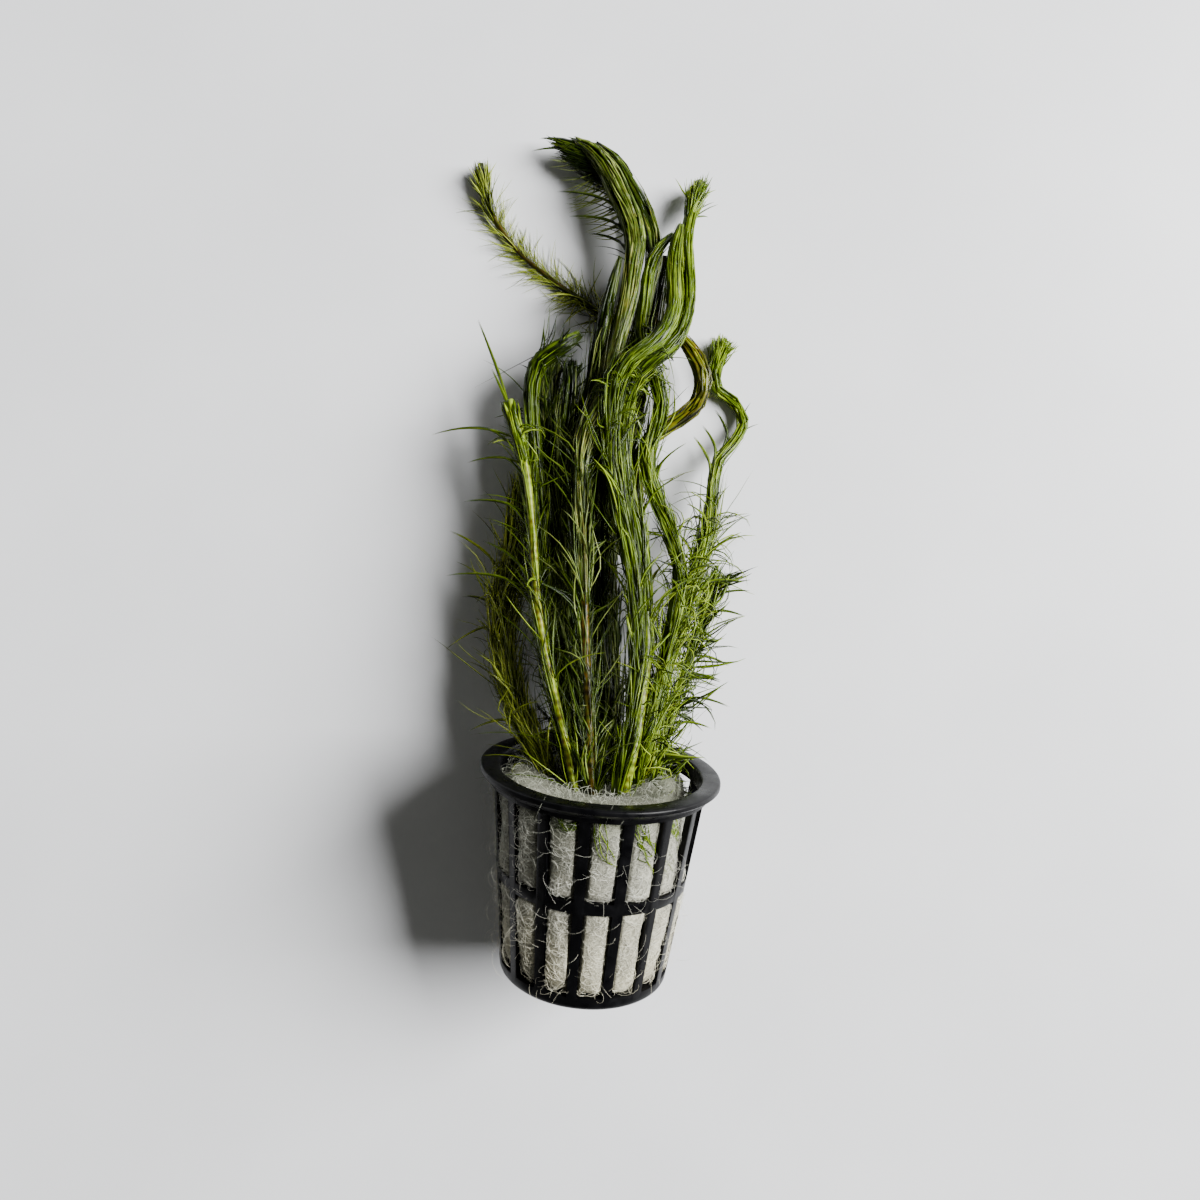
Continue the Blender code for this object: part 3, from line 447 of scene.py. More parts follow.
# Kinds that stand free of it, as free_leaves() says: fine ones that still follow it, curly ones,
# single long strays, the ragged ends of ropes, the tufts at the tips, and stiff thin bristles
FINE = dict(length=(9, 19), lean=(5, 28), curl=(10, 75), width=0.42, clump=3)
CURLY = dict(length=(7, 16), lean=(20, 90), curl=(60, 200), width=0.38, clump=2)
STRAY = dict(length=(12, 22), lean=(12, 60), curl=(10, 70), width=0.34)
FRAYED = dict(length=(5, 12), lean=(4, 45), curl=(10, 60), width=0.45, clump=2)
TUFT = dict(length=(4, 8), lean=(8, 38), curl=(0, 25), width=0.42, age=(0, 0))
BRISTLE = dict(length=(5, 10), lean=(24, 58), curl=(0, 35), width=0.19, age=(0, 0))

# The leaves of each stem, stretch by stretch: their kind, the shares of the stem's length that
# they grow between, how many there are, how light they are, and what differs from their kind
TIP = (0.94, 0.98)  # the stretch round a growing tip
LEAVES = {
    "stem_bottle_brush": [
        (SLEEK, (0.06, 0.7), 90, (0.1, 0.5)),
        (BUD, (0.92, 0.985), 120, (0.2, 0.85), dict(age=(0, 0))),
        (BRISTLE, (0.745, 0.94), 270, (0.7, 1.2), dict(facing=(55, 305))),
        (BRISTLE, (0.745, 0.92), 30, (0.6, 1.1),
         dict(length=(4, 9), lean=(14, 40), curl=(0, 45))),
        (STRAY, (0.68, 0.77), 80, (0.4, 1.0),
         dict(length=(6, 13), lean=(20, 75), curl=(20, 90), width=0.3)),
        (TUFT, TIP, 60, (0.4, 1.1), dict(lean=(4, 26), width=0.36)),
    ],
    "stem_feather": [
        (SLEEK, (0.38, 0.9), 240, (0.4, 0.9), dict(age=(0.0, 0.25), width=0.7)),
        (SHAGGY, (0.3, 0.6), 120, (0.2, 0.9), dict(age=(0.0, 0.3))),
        (SLEEK, (0.8, 0.99), 80, (0.5, 1.0), dict(length=(9, 16), lean=(0, 1), width=1.0)),
        (SHAGGY, (0.06, 0.35), 26, (0.2, 0.8), dict(width=0.34)),
        (FINE, (0.06, 0.5), 60, (0.3, 0.9), dict(facing=(60, 300))),
        (FINE, (0.06, 0.52), 110, (0.1, 0.75), dict(lean=(4, 20), facing=(55, 125))),
        (FINE, (0.06, 0.52), 110, (0.1, 0.75), dict(lean=(4, 20), facing=(-125, -55))),
        (STRAY, (0.1, 0.5), 22, (0.4, 0.9)),
    ],
    "stem_feather_back": [
        (SLEEK, (0.3, 0.98), 180, (0.35, 0.85), dict(age=(0.0, 0.2), width=0.9)),
        (SHAGGY, (0.06, 0.5), 120, (0.1, 0.6)),
        (FINE, (0.06, 0.5), 90, (0.2, 0.8)),
    ],
    "stem_wrap": [
        (SLEEK, (0.3, 0.55), 100, (0.35, 0.85)),
        (SLEEK, (0.48, 0.68), 90, (0.05, 0.55)),
        (SLEEK, (0.7, 0.95), 100, (0.4, 0.85)),
        (SHAGGY, (0.34, 0.6), 90, (0.2, 0.8)),
        (BUD, (0.93, 0.985), 100, (0.2, 1.0), dict(length=(5, 9), lean=(2, 15), width=0.6)),
        (FINE, (0.24, 0.55), 60, (0.3, 1.0)),
        (STRAY, (0.08, 0.55), 24, (0.4, 1.0)),
        (CURLY, (0.59, 0.72), 70, (0.0, 0.8), dict(length=(4, 9))),
        (TUFT, TIP, 70, (0.4, 1.1)),
    ],
    "stem_wrap_inner": [
        (SLEEK, (0.3, 0.98), 200, (0.25, 0.75)),
        (SHAGGY, (0.06, 0.64), 260, (0.1, 0.7)),
        (FINE, (0.06, 0.6), 70, (0.3, 0.9)),
        (CURLY, (0.62, 0.78), 50, (0.1, 0.9), dict(length=(4, 9))),
    ],
    "stem_under_wrap": [
        (SLEEK, (0.15, 0.98), 200, (0.25, 0.75)),
        (SHAGGY, (0.06, 0.7), 150, (0.2, 0.8)),
        (FINE, (0.06, 0.65), 80, (0.2, 0.9)),
        (CURLY, (0.06, 0.5), 180, (0.2, 0.9), dict(length=(8, 18))),
        (CURLY, (0.72, 0.84), 36, (0.1, 0.8), dict(length=(4, 8))),
    ],
    "stem_loop": [
        (SLEEK, (0.2, 0.98), 130, (0.38, 0.75), dict(age=(0.15, 0.45), width=1.1)),
        (SHAGGY, (0.06, 0.6), 180, (0.2, 0.8)),
        (FINE, (0.06, 0.6), 90, (0.3, 0.9)),
        (CURLY, (0.06, 0.45), 70, (0.3, 0.9)),
    ],
    "stem_hook": [
        (SLEEK, (0.1, 0.97), 160, (0.4, 0.85)),
        (SHAGGY, (0.06, 0.6), 130, (0.3, 0.9)),
        (BUD, (0.92, 0.985), 80, (0.45, 1.0), dict(lean=(1, 8), width=0.7)),
        (FINE, (0.06, 0.62), 70, (0.2, 0.9)),
        (CURLY, (0.06, 0.6), 190, (0.2, 0.9), dict(length=(8, 18))),
        (STRAY, (0.1, 0.65), 20, (0.4, 1.0)),
        (TUFT, TIP, 60, (0.4, 1.1), dict(lean=(6, 30))),
    ],
    "stem_bare_left": [
        (BUD, (0.84, 0.96), 80, (0.3, 0.9), dict(length=(4, 9), lean=(0, 4), width=0.95)),
        (SHAGGY, (0.05, 0.8), 30, (0.2, 0.8), dict(lean=(1, 6), width=0.36)),
        (STRAY, (0.08, 0.85), 18, (0.3, 0.9)),
        (FINE, (0.06, 0.6), 80, (0.0, 0.6), dict(lean=(4, 22), facing=(75, 140))),
        (CURLY, (0.8, 0.94), 22, (0.4, 1.0), dict(length=(5, 11), lean=(20, 70))),
    ],
    "stem_arch": [
        (SLEEK, (0.25, 0.9), 230, (0.1, 0.6)),
        (SLEEK, (0.84, 0.97), 50, (-0.3, 0.2)),
        (SHAGGY, (0.06, 0.6), 260, (0.1, 0.75)),
        (SHAGGY, (0.06, 0.6), 110, (0.1, 0.6), dict(lean=(4, 14), facing=(-150, -10))),
        (FINE, (0.06, 0.6), 100, (0.1, 0.8)),
        (CURLY, (0.06, 0.5), 40, (0.2, 0.8)),
        (STRAY, (0.1, 0.7), 12, (0.3, 0.9)),
        (FRAYED, (0.9, 0.98), 24, (-0.1, 0.4)),
    ],
    "stem_back_left": [
        (SLEEK, (0.2, 0.97), 130, (0.2, 0.75)),
        (SHAGGY, (0.06, 0.95), 300, (0.25, 0.9)),
        (FINE, (0.06, 0.9), 240, (0.1, 0.8), dict(facing=(-150, 0))),
        (CURLY, (0.06, 0.6), 100, (0.2, 0.9)),
        (FRAYED, (0.8, 0.98), 70, (0.1, 0.7)),
    ],
    "stem_middle_left": [
        (SLEEK, (0.2, 0.85), 120, (0.25, 0.75)),
        (SLEEK, (0.8, 0.97), 50, (-0.2, 0.3)),
        (SHAGGY, (0.06, 0.8), 260, (0.25, 1.0)),
        (FINE, (0.06, 0.7), 150, (0.2, 0.9)),
        (CURLY, (0.06, 0.45), 60, (0.3, 0.9)),
        (FRAYED, (0.8, 0.98), 80, (-0.2, 0.4)),
    ],
    "stem_behind_feather": [
        (SLEEK, (0.2, 0.97), 130, (0.15, 0.5)),
        # these loose leaves lie in shadow between the ropes and are painted lighter than the laid
        # ones, as painted light
        (SHAGGY, (0.06, 0.8), 260, (0.3, 1.0), dict(lean=(1, 9))),
        (FINE, (0.06, 0.6), 120, (0.1, 0.7)),
    ],
    "stem_outer_left": [
        (SHAGGY, (0.06, 0.97), 460, (0.4, 1.1), dict(age=(0.0, 0.2), lean=(1, 10))),
        (SHAGGY, (0.06, 0.9), 320, (0.35, 0.9), dict(lean=(4, 16), facing=(10, 150))),
        (FINE, (0.06, 0.98), 280, (0.4, 1.1), dict(age=(0.0, 0.1), width=0.34, lean=(3, 20))),
        (CURLY, (0.06, 0.75), 50, (0.2, 0.9), dict(age=(0.0, 0.1))),
        (STRAY, (0.1, 0.9), 16, (0.4, 1.1), dict(age=(0.0, 0.1), facing=(-150, -20))),
    ],
    "stem_right_leafy": [
        (SHAGGY, (0.06, 0.97), 100, (0.2, 0.9), dict(lean=(2, 12))),
        (FINE, (0.06, 0.98), 60, (0.2, 0.9), dict(lean=(10, 55))),
        (CURLY, (0.06, 0.98), 110, (0.1, 0.8)),
        (FINE, (0.06, 0.98), 90, (0.1, 0.8),
         dict(length=(7, 14), lean=(35, 75), curl=(5, 45), width=0.6, facing=(30, 130))),
    ],
    "stem_back_middle": [
        (SLEEK, (0.15, 0.98), 150, (0.05, 0.6), dict(age=(0.1, 0.6))),
        # these loose leaves lie in shadow between the ropes and are painted lighter than the laid
        # ones, as painted light
        (SHAGGY, (0.06, 0.8), 220, (0.4, 1.1), dict(lean=(1, 10))),
        (FINE, (0.06, 0.6), 150, (0.2, 0.7)),
    ],
}

# Leaves that fan out from a stretch of a stem to tips along a line of their own, in order: the
# Ys they leave between, how many, how wide and how light they are, and the line of their tips
FANS = {
    "stem_feather": [
        ((97, 108.5), 170, 0.6, (0.0, 0.35),
         [(-5, 101.5, 4), (-8, 103.5, 4), (-10.5, 106, 4.5), (-12, 108.6, 5)]),
        # the fine fringe below lies in the feather rope's shadow and is painted lighter, up to a
        # tone of 1.2, as painted light
        ((87, 106), 38, 0.38, (0.75, 1.2),
         [(-2.8, 86.5, 3.5), (-4.5, 90, 3), (-7.2, 92.5, 3), (-9.8, 98, 3), (-12.7, 105.5, 3.5)]),
        ((102, 108.7), 60, 0.7, (0.1, 0.5),
         [(-9.5, 107, 5), (-11.5, 108.6, 5), (-13.4, 109.6, 5)]),
    ],
    "stem_feather_back": [
        ((99, 109), 70, 0.9, (0.15, 0.55), [(-4, 106.5, 3.5), (-6, 108, 4), (-8.5, 109.3, 4.5)]),
    ],
}

# Leaves that lie between the wool and the pot: places a leaf runs through, each its turn round
# the pot, in degrees from the side that faces up, and its height
WOOL_LEAVES = {
    "stem_right_leafy": [
        [(18, 45), (23, 41.5), (31, 37.5), (42, 34), (58, 30)],
        [(27, 44.5), (40, 42), (52, 38), (64, 34)],
        [(20, 45), (21, 40), (26, 36), (36, 33), (46, 27)],
        [(38, 45), (47, 41), (58, 36.5), (68, 31)],
    ],
    "stem_middle_left": [
        [(-20, 45), (-18, 42.5), (-13, 41), (-7, 41.6)],
        [(-6, 45), (-10, 42.5), (-15, 41), (-21, 42)],
    ],
    "stem_wrap": [[(1, 45), (3, 40), (6, 36), (14, 33)]],
}
WOOL_LEAF_COPIES = 5
WOOL_LEAF_STRAY = (3.0, 0.8)  # how far their places stray, in degrees and in height
WOOL_LEAF_OFF = FINE_WIDTH * 0.8


# Small helpers


def place(point):
    """A layout point in millimetres as a point of the model, in metres."""
    x, y, z = point
    return Vector((x - MIDDLE[0], y - MIDDLE[1], z)) * MM


def put_in(name, data):
    """Puts an object with this data into the scene."""
    thing = bpy.data.objects.new(name, data)
    bpy.context.scene.collection.objects.link(thing)
    return thing


def unit(vectors):
    return vectors / np.maximum(np.linalg.norm(vectors, axis=-1, keepdims=True), 1e-9)


def run_of(points):
    """How far along a line of points each of them is."""
    return np.concatenate([[0], np.cumsum(np.linalg.norm(np.diff(points, axis=0), axis=1))])


def ease(share):
    """A share from 0 to 1 that starts and ends gently."""
    return share * share * (3 - 2 * share)


def linear(code):
    """An sRGB hex colour as linear red, green, blue and alpha."""
    shares = [int(code[k : k + 2], 16) / 255 for k in (1, 3, 5)]
    return (*[s / 12.92 if s <= 0.04045 else ((s + 0.055) / 1.055) ** 2.4 for s in shares], 1.0)


def add_node(tree, kind, inputs=(), output=0, **settings):
    """Adds a shader node with its settings, fills or links its inputs, which are named or come
    in the node's own order, and gives back one of its outputs."""
    node = tree.nodes.new("ShaderNode" + kind)
    for name, value in settings.items():
        setattr(node, name, value)
    for name, value in inputs.items() if isinstance(inputs, dict) else enumerate(inputs):
        if isinstance(value, bpy.types.NodeSocket):
            tree.links.new(value, node.inputs[name])
        else:
            node.inputs[name].default_value = value
    return node.outputs[output]


def set_stops(colour, stops):
    """Gives the ramp that a colour comes from its stops, each a place and an sRGB hex colour."""
    elements = colour.node.color_ramp.elements
    while len(elements) < len(stops):
        elements.new(0.5)
    for element, (at, code) in zip(elements, stops):
        element.position = at
        element.color = linear(code)
    return colour


def start_material(name, **values):
    """A material whose shader has these values all over, and its tree of nodes."""
    material = bpy.data.materials.new(name)
    material.use_nodes = True
    shader = material.node_tree.nodes["Principled BSDF"]
    for socket, value in values.items():
        shader.inputs[socket.replace("_", " ")].default_value = value
    return material, material.node_tree


def lead_in(material, **sources):
    """Leads each source of colour, roughness or bump into the material's shader."""
    shader = material.node_tree.nodes["Principled BSDF"]
    for socket, source in sources.items():
        material.node_tree.links.new(source, shader.inputs[socket.replace("_", " ")])
    return material


# Materials


def leaf_material(name, greens, browns):
    """Wet leaf: a soft green blade under a film of water, which gives it sharp pale glints.

    tone says how light a leaf is and age how far it has browned, in spots about 1.2 mm apart.
    The fine lengthwise streaks are its veins, drawn about 0.3 mm apart so that they show.
    """
    material, tree = start_material(name, Roughness=0.3, IOR=1.33, Specular_IOR_Level=0.2,
                                    Coat_Weight=0.2, Coat_Roughness=0.05, Coat_IOR=1.33)
    tone, aged, along, around = [
        add_node(tree, "Attribute", output="Fac", attribute_name=painted)
        for painted in ("tone", "age", "along", "around")
    ]
    grain_at = add_node(tree, "CombineXYZ", [around, along])
    position = add_node(tree, "TexCoord", output="Object")
    streaks = add_node(tree, "TexNoise", {"Vector": grain_at, "Scale": 1.0, "Detail": 3.0,
                                          "Roughness": 0.6})
    patches, spots = [
        add_node(tree, "TexNoise", {"Vector": position, "Scale": 1 / (size * MM), "Detail": detail})
        for size, detail in ((7, 3.0), (1.2, 2.0))
    ]
    spotted, streaked, patched, wet = [
        add_node(tree, "MapRange", given_range) for given_range in (
            (spots, 0.35, 0.65, 0.2, 1.5), (streaks, 0.25, 0.75, -0.2, 0.2),
            (patches, 0.3, 0.7, -0.12, 0.12), (patches, 0.3, 0.7, 0.16, 0.4),
        )
    ]
    age = add_node(tree, "Math", [aged, spotted], operation="MULTIPLY", use_clamp=True)
    lighter = add_node(tree, "Math", [tone, streaked], operation="ADD")
    shade = add_node(tree, "Math", [lighter, patched], operation="ADD")
    green, brown = [
        set_stops(add_node(tree, "ValToRGB", [shade]), stops) for stops in (greens, browns)
    ]
    mixed = add_node(tree, "Mix", {0: age, 6: green, 7: brown}, output=2, data_type="RGBA")
    bump = add_node(tree, "Bump", {"Height": streaks, "Strength": 0.5, "Distance": 0.1 * MM})
    return lead_in(material, Base_Color=mixed, Roughness=wet, Normal=bump)


def plant_materials():
    browns = ((0.0, "#0c0902"), (0.35, "#2e2406"), (0.7, "#684a10"), (1.0, "#9c7c30"))
    return {
        "green_stem": leaf_material("wet_fresh_leaf", (
            (0.0, "#0a1202"), (0.3, "#263503"), (0.65, "#4c620a"), (1.0, "#83992c")), browns),
        "dark_stem": leaf_material("wet_dark_leaf", (
            (0.0, "#050a01"), (0.35, "#162404"), (0.7, "#3f5214"), (1.0, "#7e8c4c")), browns),
        "olive_stem": leaf_material("wet_olive_leaf", (
            (0.0, "#0b0e02"), (0.35, "#293006"), (0.7, "#586410"), (1.0, "#8f9c36")), browns),
    }


def pot_material():
    """Moulded polypropylene, black: a satin skin with a faint flow pattern and fine scuffs."""
    material, tree = start_material("moulded_black_polypropylene", Roughness=0.38, IOR=1.49,
                                    Specular_IOR_Level=0.1)
    position = add_node(tree, "TexCoord", output="Object")
    flow, grain = [
        add_node(tree, "TexNoise", {"Vector": position, "Scale": 1 / (size * MM), "Detail": detail})
        for size, detail in ((3, 4.0), (0.4, 2.0))
    ]
    colour = set_stops(add_node(tree, "ValToRGB", [flow]),
                       ((0.3, "#030304"), (0.55, "#060607"), (0.75, "#0b0b0d")))
    scuffed = add_node(tree, "MapRange", [flow, 0.3, 0.7, 0.22, 0.42])
    bump = add_node(tree, "Bump", {"Height": grain, "Strength": 0.25, "Distance": 0.05 * MM})
    return lead_in(material, Base_Color=colour, Roughness=scuffed, Normal=bump)


def shaded_and_stained(tree, colour, position):
    """The wool's colour darkened grey-green towards the mouth, with cloudy edges, and clean
    cream at the foot: partly painted shade under the leaves that lie over the mouth, and
    partly the stain that the plant leaves on it."""
    base, axis = pot_matrix().translation, pot_matrix().col[2].xyz
    from_base = add_node(tree, "VectorMath", [position, base], operation="SUBTRACT")
    high = add_node(tree, "VectorMath", [from_base, axis], "Value", operation="DOT_PRODUCT")
    cloud = add_node(tree, "TexNoise", {"Vector": position, "Scale": 1 / (9 * MM), "Detail": 3.0})
    cloudy = add_node(tree, "Math", [cloud, 22 * MM, high], operation="MULTIPLY_ADD")
    share = add_node(tree, "MapRange", [cloudy, 18 * MM, 62 * MM, 0.0, 1.0])
    # grey-green towards the mouth: painted shade under the leaves, with the plant's stain
    shade_and_stain = set_stops(add_node(tree, "ValToRGB", [share]),
                      ((0.0, "#fffbea"), (0.4, "#e9e9e4"), (0.75, "#c8cac4"), (1.0, "#9aa28a")))
    return add_node(tree, "Mix", {0: 1.0, 6: colour, 7: shade_and_stain}, output=2, data_type="RGBA",
                    blend_type="MULTIPLY")


def wool_material():
    """Polyester filter wool as a mass: matt and off-white, its finer fibres drawn as pale curly
    lines, where a noise crosses its middle value, about 0.15 mm wide so that they show."""
    material, tree = start_material("polyester_wool", Roughness=0.95, IOR=1.45)
    position = add_node(tree, "TexCoord", output="Object")
    clumps = add_node(tree, "TexNoise", {"Vector": position, "Scale": 1 / (5 * MM),
                                         "Detail": 3.0})
    tangle = 0.0
    for size, distortion in ((1.3, 1.0), (0.8, 0.4), (2.1, 2.0)):
        noise = add_node(tree, "TexNoise", {"Vector": position, "Scale": 1 / (size * MM),
                                            "Detail": 1.0, "Distortion": distortion})
        off = add_node(tree, "Math", [noise, 0.5], operation="SUBTRACT")
        away = add_node(tree, "Math", [off], operation="ABSOLUTE")
        line = add_node(tree, "MapRange", [away, 0.0, 0.05, 1.0, 0.0])
        tangle = add_node(tree, "Math", [line, tangle], operation="MAXIMUM")
    shade = add_node(tree, "MapRange", [clumps, 0.3, 0.7, 0.0, 0.45])
    both = add_node(tree, "Math", [tangle, 0.55, shade], operation="MULTIPLY_ADD")
    colour = set_stops(add_node(tree, "ValToRGB", [both]),
                       ((0.0, "#64635a"), (0.45, "#8e8d81"), (1.0, "#c2c0b2")))
    bump = add_node(tree, "Bump", {"Height": tangle, "Strength": 0.35, "Distance": 0.2 * MM})
    return lead_in(material, Base_Color=shaded_and_stained(tree, colour, position), Normal=bump)


def fibre_material():
    """One polyester fibre: smooth drawn thread, white with a slight shine."""
    material, tree = start_material("polyester_fibre", Roughness=0.5, IOR=1.5)
    position = add_node(tree, "TexCoord", output="Object")
    clumps = add_node(tree, "TexNoise", {"Vector": position, "Scale": 1 / (4 * MM),
                                         "Detail": 2.0})
    colour = set_stops(add_node(tree, "ValToRGB", [clumps]),
                       ((0.35, "#bcbbb1"), (0.65, "#e9e8de")))
    return lead_in(material, Base_Color=shaded_and_stained(tree, colour, position))


def floor_material():
    """Painted board: pale grey, a little uneven, with a soft sheen."""
    material, tree = start_material("pale_painted_board", Roughness=0.4, IOR=1.5)
    position = add_node(tree, "TexCoord", output="Object")
    cloud = add_node(tree, "TexNoise", {"Vector": position, "Scale": 1 / (60 * MM),
                                        "Detail": 4.0})
    colour = set_stops(add_node(tree, "ValToRGB", [cloud]), ((0.3, "#d4d5d7"), (0.7, "#dcdddf")))
    return lead_in(material, Base_Color=colour)


# Camera, floor and light


def make_camera():
    data = bpy.data.cameras.new("camera")
    data.sensor_width = SENSOR
    data.lens = SENSOR * PHOTO_FOCAL / PHOTO_SIDE
    data.clip_start = 5 * MM
    camera = put_in("camera", data)
    camera.location = place((0, 0, CAMERA_HEIGHT))
    bpy.context.scene.camera = camera


def make_floor():
    mesh = bpy.data.meshes.new("floor")
    shape = bmesh.new()
    bmesh.ops.create_grid(shape, x_segments=8, y_segments=8, size=BOARD_HALF)
    shape.to_mesh(mesh)
    shape.free()
    mesh.materials.append(floor_material())
    floor = put_in("floor", mesh)


def make_light():
    """A soft square window that shines from the right onto the plant, in a pale room."""
    data = bpy.data.lights.new("window", "AREA")
    data.shape = "SQUARE"
    data.size = WINDOW_SIZE
    data.energy = WINDOW_POWER
    window = put_in("window", data)
    toward = Vector(WINDOW_TOWARD).normalized()
    window.location = toward * WINDOW_DISTANCE
    window.rotation_euler = toward.to_track_quat("Z", "Y").to_euler()
    room = bpy.data.worlds.new("room")
    room.use_nodes = True
    air = room.node_tree.nodes["Background"]
    air.inputs["Color"].default_value = linear(ROOM_COLOUR)
    air.inputs["Strength"].default_value = ROOM_STRENGTH
    bpy.context.scene.world = room


# Pieces


def add_piece(name, mesh, nodes=(), materials=()):
    """Puts in a mesh as a piece that rides with the model and stands for some of its nodes."""
    for material in materials:
        mesh.materials.append(material)
    piece = put_in(name, mesh)
    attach(piece, "root")
    if nodes:
        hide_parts(*nodes)
    return piece


def paint_points(mesh, values):
    """Stores a number for each point of the mesh, under each name, for its material to read."""
    for name, numbers in values.items():
        painted = mesh.attributes.new(name, "FLOAT", "POINT")
        painted.data.foreach_set("value", numbers.astype(np.float32))


# Pot


def wall_radius(height):
    share = (height - BASE_ROUND) / (POT_H - BAND_DEPTH - BASE_ROUND)
    return BASE_R + (WALL_TOP_R - BASE_R) * share


def pot_matrix():
    """The pot's own +Z becomes its axis, and its own -Y the side that faces up."""
    tilt = math.atan2(RIM_R - BASE_R, POT_H - RIM_EDGE - BASE_ROUND)
    height = BASE_R * math.cos(tilt) - BASE_ROUND * math.sin(tilt)
    turn = Matrix.Rotation(-POT_TURN, 4, "Z") @ Matrix.Rotation(tilt - math.pi / 2, 4, "X")
    return Matrix.Translation(place((*BASE_AT, height))) @ turn


def pot_profile():
    """The wall's section from the inside floor, over the rim and down to the base."""
    inner_foot = wall_radius(FLOOR) - WALL
    inner_top = WALL_TOP_R - WALL
    band_foot = POT_H - BAND_DEPTH
    rounded = [
        (BASE_R - BASE_ROUND * (1 - math.cos(a)), BASE_ROUND * (1 - math.sin(a)))
        for a in np.radians((0, 15, 30, 45, 60, 75, 90))
    ]
    lip = [
        (RIM_R - CORNER * (1 - math.cos(a)), POT_H - CORNER * (1 - math.sin(a)))
        for a in np.radians((90, 60, 30, 0))
    ]
    return [
        (0, FLOOR), (inner_foot - 2 * CORNER, FLOOR), (inner_foot, FLOOR + 2 * CORNER),
        (inner_top, band_foot), (inner_top + MOUTH_FLARE / 2, POT_H - CORNER),
        (inner_top + MOUTH_FLARE * 0.8, POT_H - CORNER / 4), (inner_top + MOUTH_FLARE, POT_H),
        *lip, (RIM_R, POT_H - RIM_EDGE + CORNER / 2), (RIM_R - CORNER / 2, POT_H - RIM_EDGE),
        (BAND_R + CORNER, POT_H - RIM_DROP), (BAND_R, POT_H - RIM_DROP - CORNER),
        (BAND_R, band_foot), (WALL_TOP_R, band_foot - CORNER / 4), *rounded, (0, 0),
    ]


def slot_cutter(low, high, angle):
    """A tapered block through the wall between two ribs."""
    mesh = bmesh.new()
    bmesh.ops.create_cube(mesh, size=1.0)
    reach_in = wall_radius(low) - WALL - CUT_INSIDE
    reach_out = WALL_TOP_R + CUT_OUTSIDE
    for vert in mesh.verts:
        height = high if vert.co.z > 0 else low
        share = (height - SLOTS_FROM) / (SLOTS_TO - SLOTS_FROM)
        rib = RIB_WIDTH_FOOT + (RIB_WIDTH_TOP - RIB_WIDTH_FOOT) * share
        width = 2 * math.pi * wall_radius(height) / RIBS - rib
        depth = reach_out if vert.co.y < 0 else reach_in
        vert.co = Vector((math.copysign(width / 2, vert.co.x), -depth, height)) * MM
    bmesh.ops.recalc_face_normals(mesh, faces=mesh.faces)
    mesh.transform(Matrix.Rotation(angle, 4, "Z"))
    return mesh


def make_cutters():
    """All the slots' cutters, in two rows with the hoop between them, as one object."""
    slots = bpy.data.meshes.new("pot_slots")
    joined = bmesh.new()
    rows = ((SLOTS_FROM, HOOP_AT - HOOP_HEIGHT / 2), (HOOP_AT + HOOP_HEIGHT / 2, SLOTS_TO))
    for low, high in rows:
        for k in range(RIBS):
            cutter = slot_cutter(low, high, FIRST_RIB + (k + 0.5) * 2 * math.pi / RIBS)
            cutter.to_mesh(slots)
            cutter.free()
            joined.from_mesh(slots)
    joined.to_mesh(slots)
    joined.free()
    return put_in("pot_slots", slots)


def made_mesh(obj):
    """The object's mesh with its modifiers worked in."""
    bpy.context.view_layer.update()
    graph = bpy.context.evaluated_depsgraph_get()
    return bpy.data.meshes.new_from_object(obj.evaluated_get(graph))


def make_pot():
    section = bpy.data.meshes.new("pot_section")
    points = [(r * MM, 0, h * MM) for r, h in pot_profile()]
    section.from_pydata(points, [(i, i + 1) for i in range(len(points) - 1)], [])
    blank = put_in("pot_blank", section)
    screw = blank.modifiers.new("turn", "SCREW")
    screw.steps = screw.render_steps = POT_STEPS
    screw.use_merge_vertices = True
    screw.merge_threshold = 0.01 * MM
    cut = blank.modifiers.new("slots", "BOOLEAN")
    cut.operation = "DIFFERENCE"
    cut.solver = "EXACT"
    cut.object = cutters = make_cutters()
    rounded = blank.modifiers.new("edges", "BEVEL")
    rounded.width = EDGE_ROUND * MM
    rounded.segments = 2
    rounded.limit_method = "ANGLE"
    rounded.angle_limit = EDGE_FROM

    mesh = made_mesh(blank)
    mesh.name = "net_pot_moulded"
    bpy.data.objects.remove(blank)
    bpy.data.objects.remove(cutters)
    mesh.transform(pot_matrix())
    mesh.shade_smooth()
    mesh.set_sharp_from_angle(angle=CREASE_FROM)
    return add_piece("net_pot_moulded", mesh, ["net_pot"], [pot_material()])


# Stems and leaves


def smooth_route(points, step):
    """Points a step apart along the smooth curve through the route's own points."""
    given = np.array(points, float)
    padded = np.vstack([2 * given[0] - given[1], given, 2 * given[-1] - given[-2]])
    dense = []
    for a, b, c, d in zip(padded, padded[1:], padded[2:], padded[3:]):
        for t in np.linspace(0, 1, CURVE_SAMPLES, endpoint=False):
            dense.append(0.5 * (2 * b + (c - a) * t + (2 * a - 5 * b + 4 * c - d) * t**2
                                + (3 * b - a - 3 * c + d) * t**3))
    dense.append(given[-1])
    dense = np.array(dense)
    along = run_of(dense[:, :3])
    at = np.linspace(0, along[-1], max(3, round(along[-1] / step) + 1))
    return np.column_stack([np.interp(at, along, dense[:, k]) for k in range(4)])


